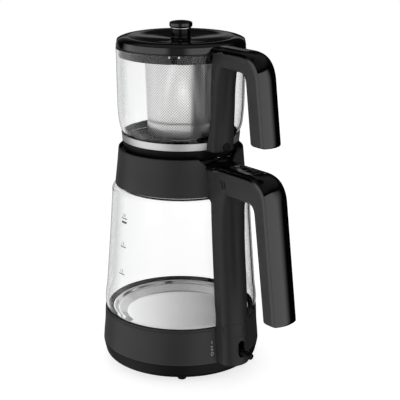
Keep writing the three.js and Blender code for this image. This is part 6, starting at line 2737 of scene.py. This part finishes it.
@dataclass
class Marks(SubAssembly):
    """Level marks on the kettle's glass, marks beside the lever, and icons on the buttons."""

    handle: Handle
    body: str = "kettle"
    level_angle: float = -90.0
    levels: tuple = (("1.0", 110.3), ("1.5", 139.2), ("2.0", 169.2))
    tick_half: float = 4.6
    tick_thick: float = 1.0
    digit_size: float = 4.6
    digit_rise: float = 3.0
    digit_turn: float = 0.6
    max_half: float = 4.0
    max_thick: float = 2.2
    lever_angle: float = -15.2
    on_height: float = 46.0
    travel_height: float = 39.7
    off_height: float = 33.6
    thin: float = 0.55
    cup_half: float = 2.6
    cup_depth: float = 2.4
    icon_width: float = 0.42
    off_glass: float = 0.04
    off_button: float = 0.03

    def build(self) -> None:
        """Make every mark."""
        for words, z in self.levels:
            self.level(words, z)
        half, top = self.max_half, self.levels[-1][1]
        most = self.strip([(-half, -half), (half, -half)], self.max_thick)
        self.wrapped(most, "max_mark", self.level_angle, top)
        self.lever_marks()
        self.icons()

    def strip(self, path: Sequence[Sequence[float]], width: float) -> Surface:
        """Straight strip cut into short steps, so that it can follow a round surface.

        Args:
            path: Its two ends (u, v).
            width: Its width.

        Returns:
            The strip, still flat.
        """
        a, b = np.asarray(path, float)
        t = np.linspace(0.0, 1.0, 13)[:, None]
        return ribbon(a * (1 - t) + b * t, width)

    def radius_at(self, z: Array) -> Array:
        """Radius of the kettle's outside at a height."""
        line = np.vstack([KETTLE.ring_side(), KETTLE.glass_side()[3:]])
        return np.interp(z, line[:, 1], line[:, 0])

    def around(self, points: Array, angle: float, z: float) -> Array:
        """Flat points (u, v, thickness) laid on the kettle: u runs round it, v up.

        Args:
            points: Rows of (u, v, thickness).
            angle: Angle round the axis in degrees.
            z: Height of v = 0.

        Returns:
            Rows of (x, y, z).
        """
        height = z + points[:, 1]
        radius = self.radius_at(height) + self.off_glass + points[:, 2]
        turn = math.radians(angle) + points[:, 0] / self.radius_at(np.full(len(points), z))
        return np.column_stack([radius * np.cos(turn), radius * np.sin(turn), height])

    def wrapped(self, mark: Surface, name: str, angle: float, z: float, ink: Finish = GREY_INK) -> None:
        """Lay a flat mark on the kettle and let it ride there."""
        made = mark.moved(lambda p: self.around(p, angle, z)).piece(name)
        self.put(made, ink, None)

    def level(self, words: str, z: float) -> None:
        """Tick with its number above.

        Args:
            words: The number.
            z: Height of the tick.
        """
        name = "level_" + words.replace(".", "_")
        tick = self.strip([(-self.tick_half, 0.0), (self.tick_half, 0.0)], self.tick_thick)
        self.wrapped(tick, name + "_tick", self.level_angle, z)
        digits = lettered(words, self.digit_size, name + "_digits")
        flat = points_of(digits) * MM
        lifted = flat + [0.0, self.digit_rise, TEXT_DEPTH]
        set_points(digits, self.around(lifted, self.level_angle - self.digit_turn, z))
        self.put(digits, GREY_INK, None)

    def lever_marks(self) -> None:
        """Bar for on, arrow for the way of travel, and ring for off, above one another."""
        angle = self.lever_angle
        self.wrapped(self.strip([(0.0, -1.7), (0.0, 1.7)], 0.7), "mark_on", angle, self.on_height, PALE_INK)
        arrow = [((0.0, -1.8), (0.0, 1.8)), ((-1.3, 1.2), (0.0, 2.6)), ((1.3, 1.2), (0.0, 2.6)),
                 ((-1.3, -1.2), (0.0, -2.6)), ((1.3, -1.2), (0.0, -2.6))]
        for i, path in enumerate(arrow):
            name = f"mark_travel_{i + 1}"
            self.wrapped(self.strip(path, self.thin), name, angle, self.travel_height, PALE_INK)
        t = np.linspace(0.0, 2 * math.pi, 33)
        oval = np.column_stack([1.25 * np.cos(t), 1.9 * np.sin(t)])
        self.wrapped(ribbon(oval, 0.6, closed=True), "mark_off", angle, self.off_height, PALE_INK)

    def icons(self) -> None:
        """Cup with steam on the brew button and a waved line on the keep-warm button."""
        t, half = np.linspace(0.0, 1.0, 25), self.cup_half
        bowl = np.column_stack([half * np.cos(math.pi * (1 + t)), self.cup_depth * np.sin(math.pi * (1 + t))])
        brim = np.column_stack([-half + 2 * half * t, 0 * t])
        ear = np.column_stack([2.5 + 1.1 * np.sin(math.pi * t), -0.3 - 1.3 * t])
        steam = np.column_stack([0.35 * np.sin(2 * math.pi * t), 0.8 + 1.8 * t])
        cup = [bowl, brim, ear, steam - [1.0, 0.0], steam + [1.0, 0.0]]
        for i, path in enumerate(cup):
            self.on_button(ribbon(path, self.icon_width), f"brew_icon_{i + 1}", "brew_button", PALE_INK)
        wave = np.column_stack([-3.0 + 6.0 * t, 0.5 * np.sin(4 * math.pi * t)])
        for i, lift in enumerate((-1.0, 0.4, 1.8)):
            line = ribbon(wave + [0.0, lift], self.icon_width)
            self.on_button(line, f"warm_icon_{i + 1}", "keep_warm_button", GREY_INK)

    def on_button(self, mark: Surface, name: str, body: str, ink: Finish) -> None:
        """Lay a flat mark on a button's crowned top, its right side towards the kettle's front.

        Args:
            mark: The flat mark.
            name: Name of the new piece.
            body: Name of the button's body and node.
            ink: Its finish.
        """
        middle = span(body)[:, 0].mean()

        def laid(p: Array) -> Array:
            """Move the mark to its button and lift it on the crown.

            Args:
                p: Rows of (u, v, thickness).

            Returns:
                Rows of (x, y, z).
            """
            x, y = middle + p[:, 0], p[:, 1]
            z = self.handle.top_at(x, y) + PushButton.rise + self.off_button + p[:, 2]
            return np.column_stack([x, y, z])

        placed(mark.moved(laid).piece(name), ink, body)


# Studio and camera


@dataclass(frozen=True)
class SoftBox:
    """Area lamp that faces the object's middle."""

    name: str
    azimuth: float
    height: float
    distance: float
    width: float
    tall: float
    radiance: float
    aim: float = 0.18

    def light(self) -> None:
        """Place the lamp: its power is radiance times area times pi."""
        lamp = bpy.data.lights.new(self.name, "AREA")
        lamp.shape = "RECTANGLE"
        lamp.size = self.width
        lamp.size_y = self.tall
        lamp.energy = self.radiance * self.width * self.tall * math.pi
        place = bpy.data.objects.new(self.name, lamp)
        bpy.context.scene.collection.objects.link(place)
        a = math.radians(self.azimuth)
        place.location = (self.distance * math.cos(a), self.distance * math.sin(a), self.height)
        way = Vector((0.0, 0.0, self.aim)) - place.location
        place.rotation_euler = way.to_track_quat("-Z", "Y").to_euler()
        place.visible_camera = False
        place.visible_transmission = False
        place.visible_glossy = False


def one_face(name: str, corners: Array, material: str) -> tuple[Piece, Sheet]:
    """Flat object of one face, with a material whose sheet is still empty.

    Args:
        name: Name of the object.
        corners: Rows of (x, y, z) in metres.
        material: Name of its material.

    Returns:
        The object and the sheet.
    """
    mesh = bpy.data.meshes.new(name)
    mesh.from_pydata(corners.tolist(), [], [list(range(len(corners)))])
    made = bpy.data.materials.new(material)
    made.use_nodes = True
    mesh.materials.append(made)
    face = bpy.data.objects.new(name, mesh)
    bpy.context.scene.collection.objects.link(face)
    return face, Sheet(made.node_tree)


@dataclass(frozen=True)
class Patch:
    """Soft-edged bright field of the surround, as mirrors see it: a window of azimuth and elevation."""

    azimuth: float
    half_width: float
    low: float
    high: float
    radiance: float
    side_soft: float = 8.0
    edge_soft: float = 2.0


@dataclass(frozen=True)
class Studio:
    """Pale floor, white surround, a dark card behind the glass, and soft boxes."""

    floor_radius: float = 2.4
    floor_level: float = 235.0
    floor_glow: float = 0.75
    fill: float = 0.32
    floor_behind_glass: float = 0.93
    dim: float = 0.008
    boxes: tuple[SoftBox, ...] = (
        SoftBox("right_box", 24.0, 0.40, 1.30, 1.0, 0.85, 0.45),
        SoftBox("left_box", -68.0, 0.55, 1.50, 0.8, 1.0, 1.3),
        SoftBox("front_box", -40.0, 1.35, 1.20, 0.9, 0.6, 0.8),
        SoftBox("top_box", 150.0, 1.50, 0.90, 0.9, 0.7, 1.0),
    )
    patches: tuple[Patch, ...] = (
        Patch(-106.0, 45.0, -60.0, 9.0, 1.75, 13.0, 5.0),
        Patch(-92.0, 32.0, 0.0, 24.0, 1.75, 9.0, 6.0),
        Patch(8.0, 37.0, -60.0, 27.0, 1.8, 13.0, 2.0),
        Patch(-40.0, 30.0, -60.0, 24.0, 0.35, 10.0, 8.0),
        Patch(165.0, 25.0, -60.0, -5.0, 0.3, 8.0, 3.0),
        Patch(142.0, 40.0, 8.5, 12.0, 0.3, 12.0, 1.8),
        Patch(168.0, 25.0, 5.0, 20.0, 0.05, 4.0, 4.0),
        Patch(-38.0, 200.0, 38.0, 80.0, 0.16, 20.0, 10.0),
    )
    beyond: tuple[Patch, ...] = (
        Patch(142.0, 70.0, -7.0, 3.0, 1.0, 6.0, 3.0),
        Patch(-62.0, 92.0, -80.0, 5.0, 1.25, 10.0, 5.0),
        Patch(180.0, 58.0, -60.0, 3.0, 1.0, 10.0, 5.0),
        Patch(163.0, 20.0, 10.0, 32.0, 1.8, 7.0, 6.0),
        Patch(95.0, 42.0, -3.0, 40.0, 0.9, 8.0, 5.0),
        Patch(-38.0, 200.0, 38.0, 100.0, 0.75, 8.0, 6.0),
    )
    flag_azimuth: float = 114.0
    flag_distance: float = 0.26
    flag_shift: float = -0.125
    flag_size: tuple[float, float] = (0.15, 0.7)

    def build(self) -> None:
        """Make the floor, the surround and the lamps."""
        self.floor()
        self.flag()
        self.surround()
        for box in self.boxes:
            box.light()

    def floor(self) -> None:
        """Disc under the object: white to the camera and through glass, clear to rays mirrored before."""
        t = np.linspace(0.0, 2 * math.pi, 97)[:-1]
        ring = np.column_stack([self.floor_radius * np.cos(t), self.floor_radius * np.sin(t), 0 * t])
        floor, sheet = one_face("floor", ring, "pale_floor")
        floor.visible_glossy = False
        path = sheet.node("ShaderNodeLightPath").outputs
        behind = sheet.math("MULTIPLY", path["Is Transmission Ray"], self.floor_behind_glass)
        seen = sheet.math("MAXIMUM", path["Is Camera Ray"], behind)
        pale = sheet.varied(sheet.noise(3.0), grey(self.floor_level - 2), grey(self.floor_level))
        diffuse = sheet.node("ShaderNodeBsdfDiffuse", {"Color": pale})
        strength = sheet.math("MULTIPLY", seen, self.floor_glow)
        glow = sheet.node("ShaderNodeEmission", {"Color": (1, 1, 1, 1), "Strength": strength})
        both = sheet.node("ShaderNodeAddShader", {0: diffuse.outputs[0], 1: glow.outputs[0]})
        bounced = sheet.math("GREATER_THAN", path["Glossy Depth"], 0.5)
        unseen = sheet.math("MULTIPLY", path["Is Transmission Ray"], bounced)
        clear = sheet.node("ShaderNodeBsdfTransparent")
        shown = sheet.node("ShaderNodeMixShader", {0: unseen, 1: both.outputs[0], 2: clear.outputs[0]})
        sheet.node("ShaderNodeOutputMaterial", {"Surface": shown.outputs[0]})

    def flag(self) -> None:
        """Upright black card behind the object, seen only through glass, that draws its right edge dark."""
        half, tall = self.flag_size[0] / 2, self.flag_size[1]
        a = math.radians(self.flag_azimuth)
        across = np.array([-math.sin(a), math.cos(a)])
        middle = np.array([math.cos(a), math.sin(a)]) * self.flag_distance + across * self.flag_shift
        side = across * half
        near, far = middle - side, middle + side
        corners = np.array([(*near, 0.0), (*far, 0.0), (*far, tall), (*near, tall)])
        card, sheet = one_face("flag", corners, "black_card")
        card.visible_camera = False
        card.visible_diffuse = False
        card.visible_glossy = False
        card.visible_shadow = False
        shade = sheet.varied(sheet.noise(40.0), 0.001, 0.004)
        diffuse = sheet.node("ShaderNodeBsdfDiffuse", {"Color": shade})
        sheet.node("ShaderNodeOutputMaterial", {"Surface": diffuse.outputs[0]})

    def surround(self) -> None:
        """World: white to the camera and straight through glass, soft fields for reflections."""
        world = bpy.data.worlds.new("studio")
        world.use_nodes = True
        bpy.context.scene.world = world
        sheet = Sheet(world.node_tree)
        path = sheet.node("ShaderNodeLightPath").outputs
        way = sheet.node("ShaderNodeTexCoord").outputs["Generated"]
        mirrored = self.brightest(sheet, way, self.patches)
        through = self.brightest(sheet, way, self.beyond)
        strength: Given = self.fill
        rays = {"Is Glossy Ray": mirrored, "Is Transmission Ray": through, "Is Camera Ray": 1.0}
        for kind, value in rays.items():
            step = sheet.math("SUBTRACT", value, strength)
            strength = sheet.math("MULTIPLY_ADD", path[kind], step, strength)
        glow = sheet.node("ShaderNodeBackground", {"Color": (1, 1, 1, 1), "Strength": strength})
        sheet.node("ShaderNodeOutputWorld", {"Surface": glow.outputs[0]})

    def brightest(self, sheet: Sheet, way: Socket, patches: Sequence[Patch]) -> Socket:
        """Radiance in a direction: that of the brightest patch there.

        Args:
            sheet: The world's sheet.
            way: Direction.
            patches: The patches.

        Returns:
            The radiance.
        """
        x, y, z = sheet.node("ShaderNodeSeparateXYZ", {0: way}).outputs
        azimuth = sheet.math("DEGREES", sheet.math("ARCTAN2", y, x))
        elevation = sheet.math("DEGREES", sheet.math("ARCSINE", z))
        total: Given = self.dim
        for patch in patches:
            turn = sheet.math("WRAP", sheet.math("SUBTRACT", azimuth, patch.azimuth), -180.0, 180.0)
            side = self.inside(sheet, sheet.math("ABSOLUTE", turn), patch.half_width, patch.side_soft)
            under = self.inside(sheet, elevation, patch.high, patch.edge_soft)
            over = self.inside(sheet, sheet.math("MULTIPLY", elevation, -1.0), -patch.low, patch.edge_soft)
            share = sheet.math("MULTIPLY", side, sheet.math("MULTIPLY", under, over))
            total = sheet.math("MAXIMUM", total, sheet.math("MULTIPLY", share, patch.radiance))
        return total

    def inside(self, sheet: Sheet, value: Socket, limit: float, soft: float) -> Socket:
        """1 below a limit and 0 above it, turning smoothly over twice the softness.

        Args:
            sheet: The world's sheet.
            value: The value.
            limit: The limit.
            soft: The softness.

        Returns:
            The share.
        """
        made = sheet.node("ShaderNodeMapRange", {
            "Value": value, "From Min": limit - soft, "From Max": limit + soft, "To Min": 1.0, "To Max": 0.0,
        }, interpolation_type="SMOOTHSTEP")
        return made.outputs["Result"]


def set_camera() -> None:
    """Camera of the photograph, worked out from the object's edges in it."""
    lens = bpy.data.cameras.new("photo_camera")
    lens.lens = 104.22
    lens.sensor_width = 36.0
    lens.shift_x = 0.048
    camera = bpy.data.objects.new("photo_camera", lens)
    camera.location = (0.9203, -0.7204, 0.5234)
    camera.rotation_euler = Euler((math.radians(73.42), 0.0, math.radians(51.95)))
    bpy.context.scene.collection.objects.link(camera)
    bpy.context.scene.camera = camera
    bpy.context.scene.view_settings.view_transform = "Standard"


def main() -> None:
    """Build the whole tea maker in its studio."""
    logging.basicConfig(level=logging.INFO, format="%(name)s %(message)s")
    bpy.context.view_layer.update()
    handle = KettleHandle()
    groups: list[SubAssembly] = [
        PowerBase(), KettleBase(), KettleGlass(), KettleLid(), handle,
        *(PushButton(node, node, length, handle.handle) for node, length in BUTTON_LENGTHS.items()),
        SwitchLever(), Teapot(), Infuser(), TeapotLid(), Marks(handle.handle),
    ]
    for group in groups:
        group.build()
    kept("circuit_board", CIRCUIT_BOARD)
    Studio().build()
    set_camera()


if __name__ == "__main__":
    main()
